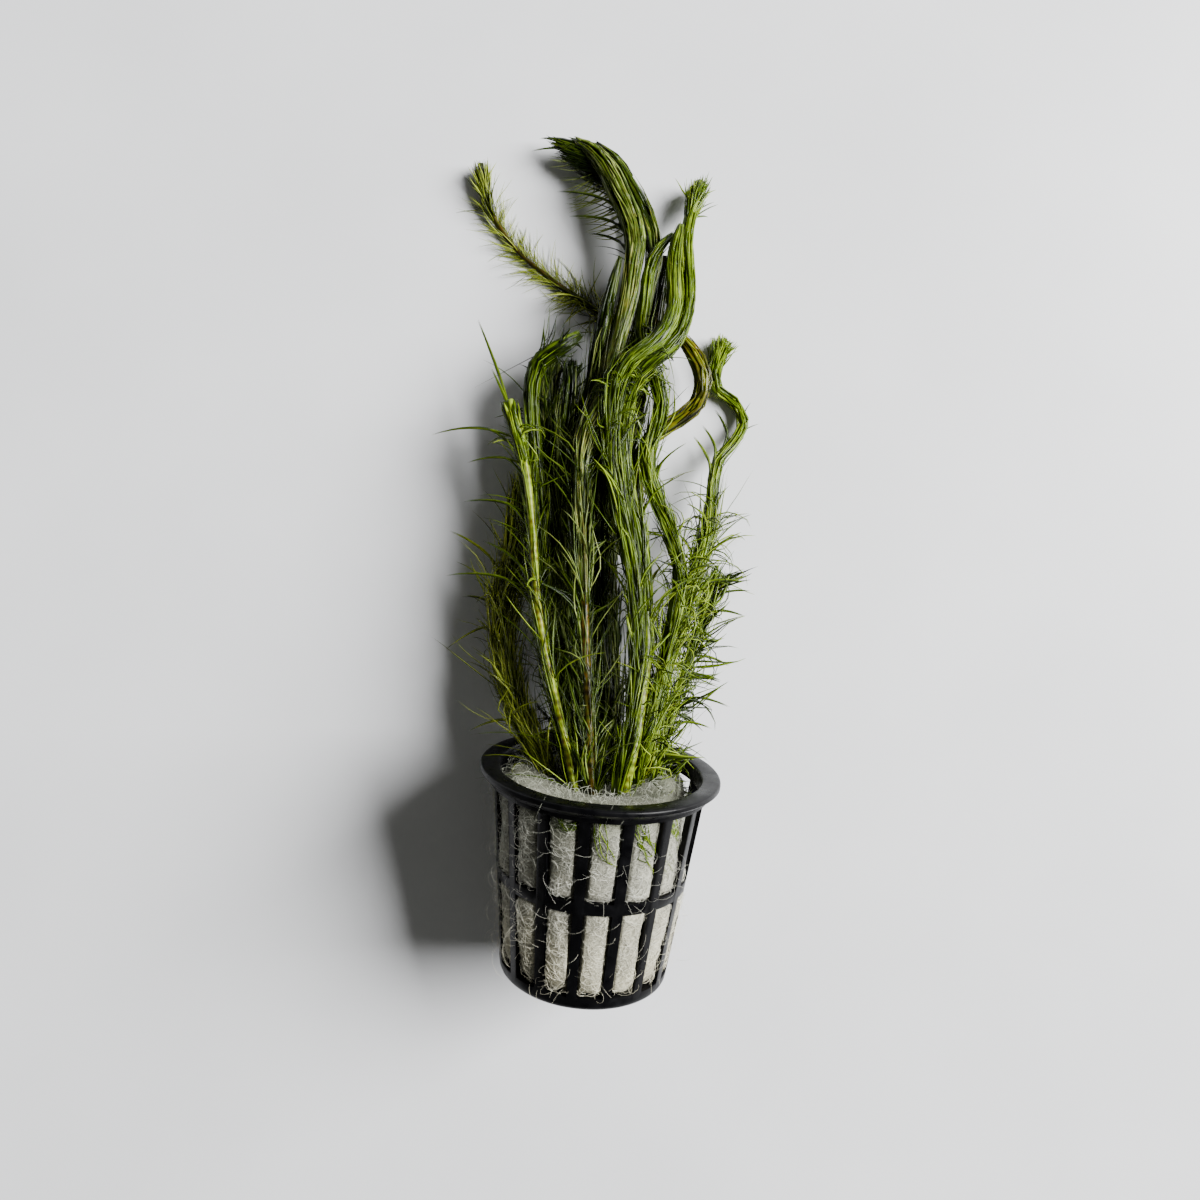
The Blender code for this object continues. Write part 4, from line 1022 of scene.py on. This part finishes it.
def settle(routes):
    """Stems that press on each other are eased apart, as in the model, and kept off the
    surface."""
    points = np.vstack(routes)
    radius = points[:, 3]
    owner = np.repeat(np.arange(len(routes)), [len(route) for route in routes])
    start = points[:, :3].copy()
    moved = np.zeros_like(start)
    first = np.flatnonzero(owner[:-1] == owner[1:])
    low = np.concatenate([first, first, first, np.arange(len(points))])
    high = np.concatenate([first + 1, first + 1, first + 1, np.arange(len(points))])
    shares = [np.full(len(first), s) for s in (0.25, 0.5, 0.75)]
    share = np.concatenate([*shares, np.zeros(len(points))])
    thick = (1 - share) * radius[low] + share * radius[high]
    sample = (1 - share)[:, None] * start[low] + share[:, None] * start[high]
    close = np.linalg.norm(sample[:, None] - sample[None], axis=2) < SETTLE_WITHIN
    one, other = np.nonzero(close & (owner[low][:, None] != owner[low][None]))
    apart = thick[one] + thick[other] + STEM_SPACING
    for _ in range(SETTLE_ROUNDS):
        now = start + moved
        sample = (1 - share)[:, None] * now[low] + share[:, None] * now[high]
        gap = sample[one] - sample[other]
        distance = np.linalg.norm(gap, axis=1) + 1e-9
        short = np.clip(apart - distance, 0, None) * SETTLE_PUSH
        push = np.zeros_like(sample)
        np.add.at(push, one, (short / distance)[:, None] * gap * np.array(SETTLE_EASE))
        for index, weight in ((low, 1 - share), (high, share)):
            np.add.at(moved, index, push * weight[:, None])
        inner = np.flatnonzero(owner[:-2] == owner[2:])
        mean = (moved[inner] + moved[inner + 2]) / 2
        moved[inner + 1] += SETTLE_PUSH * (mean - moved[inner + 1])
        below = radius + FLOOR_LIFT - (start[:, 2] + moved[:, 2])
        moved[:, 2] += np.clip(below, 0, None)
    done = np.column_stack([start + moved, radius])
    return [done[owner == k] for k in range(len(routes))]


def stem_line(route):
    """A stem's middle line in fine steps, with its directions ahead, up and to the side."""
    fine = smooth_route(route, FINE_STEP)
    points = fine[:, :3]
    run = unit(np.gradient(points, axis=0))
    up = unit(UP - run[:, 2:3] * run)
    return dict(points=points, radius=fine[:, 3], run=run, up=up, side=np.cross(run, up),
                along=run_of(points))


def along_line(line, name, at):
    """One of the stem line's values, such as its points, at places along it."""
    values = line[name]
    if values.ndim == 1:
        return np.interp(at, line["along"], values)
    return np.stack([np.interp(at, line["along"], values[:, k]) for k in range(3)], axis=-1)


def beside(line, along, angle, out):
    """Points beside the stem: how far along it, at which angle from its top, and how far out."""
    at = np.clip(along, 0, line["along"][-1])
    points, run, up, side = [
        along_line(line, name, at) for name in ("points", "run", "up", "side")
    ]
    outward = np.cos(angle)[..., None] * up + np.sin(angle)[..., None] * side
    reach = along_line(line, "radius", at) + out
    return points + (along - at)[..., None] * run + reach[..., None] * outward, outward


def leaf_batch(points, outward, width, rng, tone, age):
    """A batch of leaves: their middle lines, the way they face, and what sets each apart.

    tone and age are the ranges that each leaf's own is drawn from.
    """
    count, steps = points.shape[:2]
    t = np.linspace(0, 1, steps)
    points[..., 2] = np.maximum(points[..., 2], LEAF_LOWEST)
    taper = (LEAF_FOOT + (1 - LEAF_FOOT) * np.minimum(1, t / LEAF_FULL_AT)) * (1 - t**LEAF_POINT)
    lengths = np.linalg.norm(np.diff(points, axis=1), axis=2).sum(axis=1)
    tone, age = rng.uniform(*tone, count), rng.uniform(*age, count)
    return dict(
        points=points,
        outward=outward,
        width=width[:, None] * taper,
        tone=tone[:, None] + TIP_SHADE * (t - TIP_FROM),
        age=np.repeat(age[:, None], steps, axis=1),
        along=rng.uniform(0, VEIN_FIELD, count)[:, None] + VEIN_RUN * lengths[:, None] * t,
        around=rng.uniform(0, VEIN_FIELD, count),
    )


def laid_leaves(line, rng, span, count, length, lean, width, tone, age=FRESH, facing=ALL_ROUND,
                wander=0.35):
    """Leaves that lie along a stretch of a stem, up to its end.

    length is in millimetres, lean in degrees away from the stem, facing in degrees round it
    from its top, and wander how far a leaf winds round the stem, in radians.
    """
    end = line["along"][-1]
    start = rng.uniform(*span, count) * end
    size = rng.uniform(*length, count)
    size = np.minimum(size, end + OVERRUN * rng.random(count) - start)[:, None]
    tilt = np.radians(rng.uniform(*lean, count))[:, None]
    angle = np.radians(rng.uniform(*facing, count))[:, None]
    wind = wander * rng.uniform(-1, 1, (count, 1))
    sway = wander * rng.normal(0, LAID_SWAY, (count, 1))
    t = np.linspace(0, 1, LAID_STEPS + 1)
    around = angle + wind * t + sway * np.sin(2 * math.pi * t)
    out = size * t * np.sin(tilt) - LEAF_SUNK
    points, outward = beside(line, start[:, None] + size * t * np.cos(tilt), around, out)
    return leaf_batch(points, outward, width * rng.uniform(*LEAF_WIDTHS, count), rng, tone, age)


def wander_off(rng, base, heading, length, turn, steps, sink=0.0):
    """Curly lines from base points: the way they set out, their length, and their whole turn."""
    axis = unit(np.cross(heading, unit(rng.normal(size=base.shape))))
    bend = (turn / (steps - 1))[:, None]
    stride = (length / (steps - 1))[:, None]
    points = [base]
    for _ in range(steps - 1):
        heading = np.cos(bend) * heading + np.sin(bend) * np.cross(axis, heading)
        heading = heading + rng.normal(0, WAVER, base.shape)
        heading[:, 2] -= sink
        heading = unit(heading)
        points.append(points[-1] + heading * stride)
    return np.stack(points, axis=1)


def free_leaves(line, rng, span, count, length, lean, curl, width, tone, age=FRESH,
                facing=ALL_ROUND, clump=1):
    """Leaves that set out from a stretch of a stem and curl away from it.

    length is in millimetres, lean and facing the degrees away from the stem and round it that
    they set out at, curl the degrees that they turn over their length, and clump how many
    neighbours cling to one wet tip.
    """
    end = line["along"][-1]
    own = np.arange(count)
    first = own // clump * clump
    beyond = (own - first) * rng.normal(0, 1.0, (2, count))
    start = np.clip((rng.uniform(*span, count) * end)[first] + CLUMP_LENGTH * beyond[0], 0, end)
    tilt = np.radians(rng.uniform(*lean, count))
    size = np.minimum(rng.uniform(*length, count), (end + OVERRUN - start) / np.cos(tilt))
    angle = np.radians(rng.uniform(*facing, count)[first] + CLUMP_TURN * beyond[1])
    base, outward = beside(line, start, angle, np.full(count, -LEAF_ROOT))
    run = unit(along_line(line, "run", start))
    heading = np.cos(tilt)[:, None] * run + np.sin(tilt)[:, None] * outward
    turn = np.radians(rng.uniform(*curl, count)) * rng.choice((-1, 1), count)
    points = wander_off(rng, base, heading, size, turn, LEAF_STEPS + 1, LEAF_SINK)
    t = np.linspace(0, 1, LEAF_STEPS + 1)[:, None]
    points += (points[first] - points) * ease(np.clip(t / CLUMP_BY, 0, CLUMP_CLOSE))
    faced = np.repeat(outward[:, None], LEAF_STEPS + 1, axis=1) + LEAF_FACES_UP * UP
    return leaf_batch(points, faced, width * rng.uniform(*LEAF_WIDTHS, count), rng, tone, age)


def grown(line, rng, kind, span, count, tone, changes=None):
    """One stretch's leaves: free ones where their kind has a curl, and laid ones otherwise."""
    settings = {**kind, **(changes or {})}
    grow = free_leaves if "curl" in settings else laid_leaves
    return grow(line, rng, span, count, tone=tone, **settings)


def near_y(line, y):
    """How far along the stem its last crossing of this Y is."""
    back = np.argmin(np.abs(line["points"][::-1, 1] - y))
    return line["along"][len(line["along"]) - 1 - back]


def bowed(line, at, tip):
    """The middle line of a leaf that sets out along its stem and bows over to its tip."""
    base, run = along_line(line, "points", at), along_line(line, "run", at)
    middle = base + run * np.linalg.norm(tip - base) * LONG_BOW + (tip - base) * BOW_AT
    t = np.linspace(0, 1, LONG_STEPS + 1)[:, None]
    return (1 - t) ** 2 * base + 2 * t * (1 - t) * middle + t**2 * tip


def standing_paths(name, line):
    """The paths and widths of leaves that stand far out: pairs that cling together at their
    tips, and fine single ones."""
    found = []
    for y, tip in LOOSE_LEAVES.get(name, []):
        at, tip = near_y(line, y), np.array(tip, float)
        first = bowed(line, at, tip)
        second = bowed(line, max(0.0, at - PAIR_APART), tip)
        cling = ease(np.clip(np.linspace(0, 1, LONG_STEPS + 1) / PAIR_MEETS, 0, 1)[:, None])
        found.append((first, PAIR_WIDTH))
        found.append((second + (first + PAIR_OFF - second) * cling, PAIR_WIDTH))
    for y, tip in FINE_LEAVES.get(name, []):
        found.append((bowed(line, near_y(line, y), np.array(tip, float)), FINE_WIDTH))
    return found


def wool_leaf_paths(name, rng):
    """The paths and widths of leaves that lie on the wool, a few beside each given one."""
    found = []
    for turns_and_heights in WOOL_LEAVES.get(name, []):
        given = np.array(turns_and_heights, float)
        places, even = np.linspace(0, 1, len(given)), np.linspace(0, 1, LONG_STEPS + 1)
        for _ in range(WOOL_LEAF_COPIES):
            turn, height = (given + rng.normal(0, WOOL_LEAF_STRAY, given.shape)).T
            angle = np.radians(np.interp(even, places, turn))
            height = np.clip(np.interp(even, places, height), SLOTS_FROM, WOOL_TO)
            reach = wool_reach(height, angle) + swell(height, angle) + WOOL_LEAF_OFF
            found.append((pot_points(reach, angle, height), FINE_WIDTH))
    return found


def long_leaves(name, line, rng):
    """The leaves that are placed one by one, as one batch, if the stem has any."""
    found = standing_paths(name, line) + wool_leaf_paths(name, rng)
    if not found:
        return []
    points = np.stack([path for path, _ in found])
    width = np.array([width for _, width in found])
    return [leaf_batch(points, np.zeros_like(points) + UP, width, rng, LONG_TONE, LONG_AGE)]


def fan_leaves(line, rng, leaving, count, width, tone, tips):
    """Leaves that set out one after another along a stem, and sag to tips along a line of
    their own."""
    tips = np.array(tips, float)
    places = np.linspace(0, 1, len(tips))
    t = np.linspace(0, 1, LONG_STEPS + 1)[:, None]
    points = []
    for share in np.linspace(0, 1, count):
        at = near_y(line, leaving[0] + (leaving[1] - leaving[0]) * share)
        at = at + rng.normal(0, FAN_ROOT_STRAY)
        where = np.clip(share + rng.normal(0, FAN_STRAY), 0, 1)
        base = along_line(line, "points", at)
        tip = np.array([np.interp(where, places, tips[:, k]) for k in range(3)])
        tip = tip + (base - tip) * FAN_SHORT * rng.random() ** 2 + rng.normal(0, FAN_OFF, 3)
        sag = np.array([0, -rng.uniform(0, FAN_SAG) * np.linalg.norm(tip - base), 0])
        points.append(base + (tip - base) * t + 4 * t * (1 - t) * sag)
    points = np.stack(points)
    return leaf_batch(points, np.zeros_like(points) + UP,
                      width * rng.uniform(*LEAF_WIDTHS, count), rng, tone, LONG_AGE)


def tube_faces(rings, sides, pointed=False):
    """The faces of a closed tube of rings: their corners, in a row, and how many each has."""
    low = np.arange(rings - 1)[:, None] * sides + np.arange(sides)
    ahead = np.arange(rings - 1)[:, None] * sides + (np.arange(sides) + 1) % sides
    walls = np.stack([low, ahead, ahead + sides, low + sides], axis=-1).ravel()
    foot = np.arange(sides)[::-1]
    end = (rings - 1) * sides + np.arange(sides)
    end_sizes = [sides]
    if pointed:
        tip = np.full(sides, rings * sides)
        end = np.stack([end, np.roll(end, -1), tip], axis=-1).ravel()
        end_sizes = [3] * sides
    sizes = np.array([4] * (rings - 1) * sides + [sides] + end_sizes)
    return np.concatenate([walls, foot, end]), sizes


def repeat_faces(corners, sizes, count, points_each):
    """The same faces for each of many like bodies that follow one another."""
    offsets = np.arange(count)[:, None] * points_each
    return (corners[None] + offsets).ravel(), np.tile(sizes, count)


def blades(batch):
    """Closed three-sided blades along a batch's lines."""
    points = batch["points"]
    count, steps = points.shape[:2]
    run = unit(np.gradient(points, axis=1))
    up = unit(batch["outward"] - (batch["outward"] * run).sum(-1, keepdims=True) * run)
    side = np.cross(run, up)
    half = batch["width"][..., None] / 2
    rings = np.stack([points + up * half * LEAF_BACK, points + side * half, points - side * half],
                     axis=2)
    solid = np.concatenate([rings[:, :-1].reshape(count, -1, 3), points[:, -1:]], axis=1)
    painted = {}
    for name in ("tone", "age", "along"):
        ringed = np.repeat(batch[name][:, :-1], 3, axis=1)
        painted[name] = np.concatenate([ringed, batch[name][:, -1:]], axis=1).ravel()
    across = np.append(np.tile(VEIN_ACROSS, steps - 1), VEIN_ACROSS[0])
    painted["around"] = (batch["around"][:, None] + across).ravel()
    corners, sizes = repeat_faces(*tube_faces(steps - 1, 3, pointed=True), count, solid.shape[1])
    return dict(points=solid.reshape(-1, 3), corners=corners, sizes=sizes, painted=painted)


def strand_crests(along, turn, rng):
    """How high the strands' crests stand at each point of a body, and whose crest it is."""
    stray = rng.uniform(-STRAND_STRAY, STRAND_STRAY, STRANDS)
    home = 2 * math.pi * (np.arange(STRANDS) + stray) / STRANDS
    phase = rng.uniform(0, 2 * math.pi, (3, STRANDS))
    drift = sum(far * np.sin(along[:, None] / length + phase[k])
                for k, (far, length) in enumerate(STRAND_DRIFTS))
    usual, change = STRAND_PROUD
    proud = usual + change * np.sin(along[:, None] / PROUD_LENGTH + phase[2])
    off = (turn[:, None] - (home + drift)[:, None] + math.pi) % (2 * math.pi) - math.pi
    across = off * STRANDS / (STRAND_SPREAD * math.pi)
    dome = np.sqrt(np.clip(1 - across**2, 0, 1)) * proud[:, None]
    return dome.max(axis=2), dome.argmax(axis=2)


def stem_body(line, rng, stops):
    """A stem's closed body: a stalk with leaf scars where it is bare, else matted strands."""
    along, stops = line["along"], np.array(stops).T
    tone, age, matted, fill = [
        np.interp(along / along[-1], stops[0], row)[:, None] for row in stops[1:]
    ]
    turn = np.linspace(0, 2 * math.pi, BODY_SIDES, endpoint=False)
    crest, own = strand_crests(along, turn, rng)
    ringed = (np.arange(len(along)) % RING_EVERY == 0) * rng.uniform(*SCARS, len(along))
    scar = np.clip(1 - 2 * matted, 0, 1) * ringed[:, None]
    grooved = 1 - STRAND_RELIEF * matted * (1 - crest) + SCAR_RISE * scar
    reach = line["radius"][:, None] * fill * grooved
    outward = (np.cos(turn)[:, None] * line["up"][:, None]
               + np.sin(turn)[:, None] * line["side"][:, None])
    points = line["points"][:, None] + reach[..., None] * outward
    shades = rng.uniform(-STRAND_SHADES, STRAND_SHADES, STRANDS)[own]
    # the grooves between strands are painted darker, as painted shade, and the highest crests a
    # little lighter, as painted light
    shade = tone + matted * (shades + GROOVE_PAINTED_SHADE * (crest - CREST_FULL)) - SCAR_SHADE * scar
    corners, sizes = tube_faces(len(along), BODY_SIDES)
    painted = {
        "tone": shade.ravel(),
        "age": np.repeat(age + SCAR_SHADE * scar, BODY_SIDES),
        "along": np.repeat(along * VEIN_RUN, BODY_SIDES),
        "around": np.tile(VEIN_ROUND * np.abs(turn - math.pi), len(along)),
    }
    return dict(points=points.reshape(-1, 3), corners=corners, sizes=sizes, painted=painted)


def join_forms(forms):
    """Several forms, each of points, faces and painted values, as one."""
    starts = np.cumsum([0] + [len(form["points"]) for form in forms])
    return dict(
        points=np.vstack([form["points"] for form in forms]),
        corners=np.concatenate([form["corners"] + start for form, start in zip(forms, starts)]),
        sizes=np.concatenate([form["sizes"] for form in forms]),
        painted={name: np.concatenate([form["painted"][name] for form in forms])
                 for name in forms[0]["painted"]},
    )


def form_mesh(name, form):
    """A smooth mesh of a form, whose points are in layout millimetres, and none of it below
    the surface."""
    mesh = bpy.data.meshes.new(name)
    points = (form["points"] - np.array([*MIDDLE, 0])) * MM
    points[:, 2] = np.maximum(points[:, 2], 0.0)
    mesh.vertices.add(len(points))
    mesh.vertices.foreach_set("co", points.ravel())
    mesh.loops.add(len(form["corners"]))
    mesh.loops.foreach_set("vertex_index", form["corners"])
    mesh.polygons.add(len(form["sizes"]))
    mesh.polygons.foreach_set("loop_start", np.cumsum(form["sizes"]) - form["sizes"])
    mesh.update(calc_edges=True)
    mesh.validate()
    paint_points(mesh, form["painted"])
    mesh.shade_smooth()
    return mesh


def make_stems(materials):
    """Each stem with its leaves, as one piece that has random numbers of its own."""
    routes = settle([smooth_route(points, RING_STEP) for points in STEMS.values()])
    for seed, (name, route) in enumerate(zip(STEMS, routes)):
        rng = np.random.default_rng(seed)
        line = stem_line(route)
        batches = [grown(line, rng, *stretch) for stretch in LEAVES[name]]
        batches += [fan_leaves(line, rng, *fan) for fan in FANS.get(name, [])]
        batches += long_leaves(name, line, rng)
        body = stem_body(line, rng, BODIES.get(name, GREEN_BODY))
        form = join_forms([body] + [blades(batch) for batch in batches])
        slot = STEM_SLOT.get(name, "green_stem")
        add_piece(name + "_leafy", form_mesh(name + "_leafy", form), [name],
                  [materials[slot]])


# Wool


def wool_reach(height, angle):
    """How far the wool reaches from the pot's axis, at an angle from the side that faces up."""
    inside = wall_radius(height) - WALL - GAP - WOOL_SLACK
    lumps = sum(size * np.sin(waves * angle + twist * height)
                for waves, twist, size in WOOL_LUMPS)
    toward_gap = np.maximum(0.0, np.cos(angle - HOLLOW_AT))
    upper = np.maximum(0.0, (height - HOLLOW_FROM) / (POT_H - HOLLOW_FROM))
    return inside + lumps - WOOL_HOLLOW * toward_gap**HOLLOW_NARROW * upper


def swell(height, angle):
    """How far the wool swells into the windows between the ribs and the hoop."""
    phase = np.mod((angle - FIRST_RIB) / RIB_TURN, 1.0)
    across = ((0.5 - np.abs(phase - 0.5)) * 2 - WINDOW_FROM) / WINDOW_EASE
    edges = (np.abs(height - HOOP_AT) - HOOP_HEIGHT / 2, height - SLOTS_FROM, SLOTS_TO - height)
    open_here = np.clip(across, 0, 1)
    for inward in edges:
        open_here = open_here * np.clip(inward / EDGE_EASE, 0, 1)
    crown = BULGE_FLAT + (1 - BULGE_FLAT) * np.sin(math.pi * phase) ** BULGE_ROUND
    return WOOL_PRESS + (WOOL_BULGE * crown - WOOL_PRESS) * open_here


def wool_section():
    """The wool's outline as shares of its height and reach, in even steps from foot to crown."""
    turn = np.linspace(-math.pi / 2, math.pi / 2, OUTLINE_SAMPLES)
    height = np.sign(np.sin(turn)) * np.abs(np.sin(turn)) ** (2 / WOOL_FULL)
    out = np.abs(np.cos(turn)) ** (2 / WOOL_FULL)
    along = run_of(np.column_stack([height, out]))
    at = np.linspace(0, along[-1], WOOL_ROWS)
    return np.interp(at, along, height), np.interp(at, along, out)


def pot_points(radius, angle, height):
    """Points round the pot's axis as layout points."""
    local = np.stack([radius * np.sin(angle), -radius * np.cos(angle), height], axis=-1)
    matrix = np.array(pot_matrix())
    world = local @ matrix[:3, :3].T + matrix[:3, 3] / MM
    return world + np.array([*MIDDLE, 0])


def make_wool():
    """The wool's body, row by row up its height, with the mouth dished."""
    share, out = wool_section()
    height = WOOL_FROM + (WOOL_TO - WOOL_FROM) * (1 + share) / 2
    dish = WOOL_DISH * (1 - out) * (share - DISH_FROM) / (1 - DISH_FROM)
    height = height - np.where(share > DISH_FROM, dish, 0)
    angle = FIRST_RIB + np.linspace(0, 2 * math.pi, WOOL_STEPS, endpoint=False)
    turns, rows = np.meshgrid(angle, height[1:-1])
    reach = out[1:-1, None] * (wool_reach(rows, turns) + swell(rows, turns))
    corners, sizes = tube_faces(len(rows), WOOL_STEPS)
    points = pot_points(reach, turns, rows).reshape(-1, 3)
    form = dict(points=points, corners=corners, sizes=sizes, painted={})
    mesh = form_mesh("filter_wool_packed", form)
    return add_piece("filter_wool_packed", mesh, ["filter_wool"], [wool_material()])


def threads(points, width):
    """Closed three-sided threads along curly lines."""
    count, steps = points.shape[:2]
    run = unit(np.gradient(points, axis=1))
    up = unit(np.cross(run, ASLANT))
    side = np.cross(run, up)
    rings = np.stack([
        points + width / 2 * (math.cos(a) * up + math.sin(a) * side)
        for a in np.radians((0, 120, 240))
    ], axis=2)
    corners, sizes = repeat_faces(*tube_faces(steps, 3), count, 3 * steps)
    return dict(points=rings.reshape(-1, 3), corners=corners, sizes=sizes, painted={})


def face_fibres(rng, count):
    """Fibres that lie curled on the wool's face, in the windows and under the ribs."""
    angle = rng.uniform(-FACE_HALF, FACE_HALF, count)
    height = rng.uniform(*FACE_STARTS, count)
    heading = rng.uniform(0, 2 * math.pi, count)
    turn = rng.normal(0, FACE_TURN, count)
    angles, heights = [angle], [height]
    for _ in range(FIBRE_STEPS - 1):
        heading = heading + turn + rng.normal(0, FACE_WAVER, count)
        angles.append(angles[-1] + FIBRE_STRIDE * np.cos(heading) / BASE_R)
        heights.append(heights[-1] + FIBRE_STRIDE * np.sin(heading))
    angles = np.stack(angles, axis=1)
    heights = np.clip(np.stack(heights, axis=1), *FACE_KEEPS)
    arch = np.sin(np.linspace(0, math.pi, FIBRE_STEPS)) * rng.random((count, 1))
    reach = wool_reach(heights, angles) + swell(heights, angles)
    reach = reach + FACE_LIFT * rng.random((count, 1)) + FACE_LIFT * arch
    return pot_points(reach, angles, heights)


def curl_off(rng, base, toward, stray, length, turn):
    """Fibres that set out from base points, each a little its own way, and curl over."""
    heading = unit(toward + rng.normal(0, stray, base.shape))
    length = rng.uniform(*length, len(base))
    turn = np.radians(rng.uniform(*turn, len(base)))
    return wander_off(rng, base, heading, length, turn, LOOSE_FIBRE_STEPS)


def loose_fibres(rng, count, angle, height):
    """Fibres that stand off the wool and curl over the ribs."""
    at = np.radians(rng.uniform(*angle, count))
    up = rng.uniform(*height, count)
    reach = wool_reach(up, at) + swell(up, at) - rng.uniform(0, LOOSE_ROOT, count)
    base = pot_points(reach, at, up)
    outward = unit(base - pot_points(np.zeros(count), at, up))
    return curl_off(rng, base, outward, 0.4, length=(5, 12), turn=(160, 500))


def mouth_fibres(rng, count):
    """Fibres that stand off the wool's face in the pot's mouth, round the stems."""
    share = np.sqrt(rng.uniform(*MOUTH_SHARES, count))
    at = rng.uniform(-math.pi, math.pi, count)
    crown = np.full(count, WOOL_TO - MOUTH_ROOT)
    base = pot_points(share * wool_reach(crown, at), at, crown - WOOL_DISH * (1 - share))
    upward = np.array(pot_matrix().col[2].xyz)
    return curl_off(rng, base, upward, 0.9, length=(3, 6), turn=(120, 400))


def make_fibres():
    rng = np.random.default_rng(FIBRE_SEED)
    forms = [threads(face_fibres(rng, FACE_FIBRES), FIBRE_WIDTH)]
    forms += [threads(loose_fibres(rng, *some), LOOSE_FIBRE_WIDTH) for some in LOOSE_FIBRES]
    forms += [threads(mouth_fibres(rng, MOUTH_FIBRES), FIBRE_WIDTH)]
    mesh = form_mesh("filter_wool_fibres", join_forms(forms))
    return add_piece("filter_wool_fibres", mesh, (), [fibre_material()])


make_camera()
make_floor()
make_light()
make_pot()
make_wool()
make_fibres()
make_stems(plant_materials())
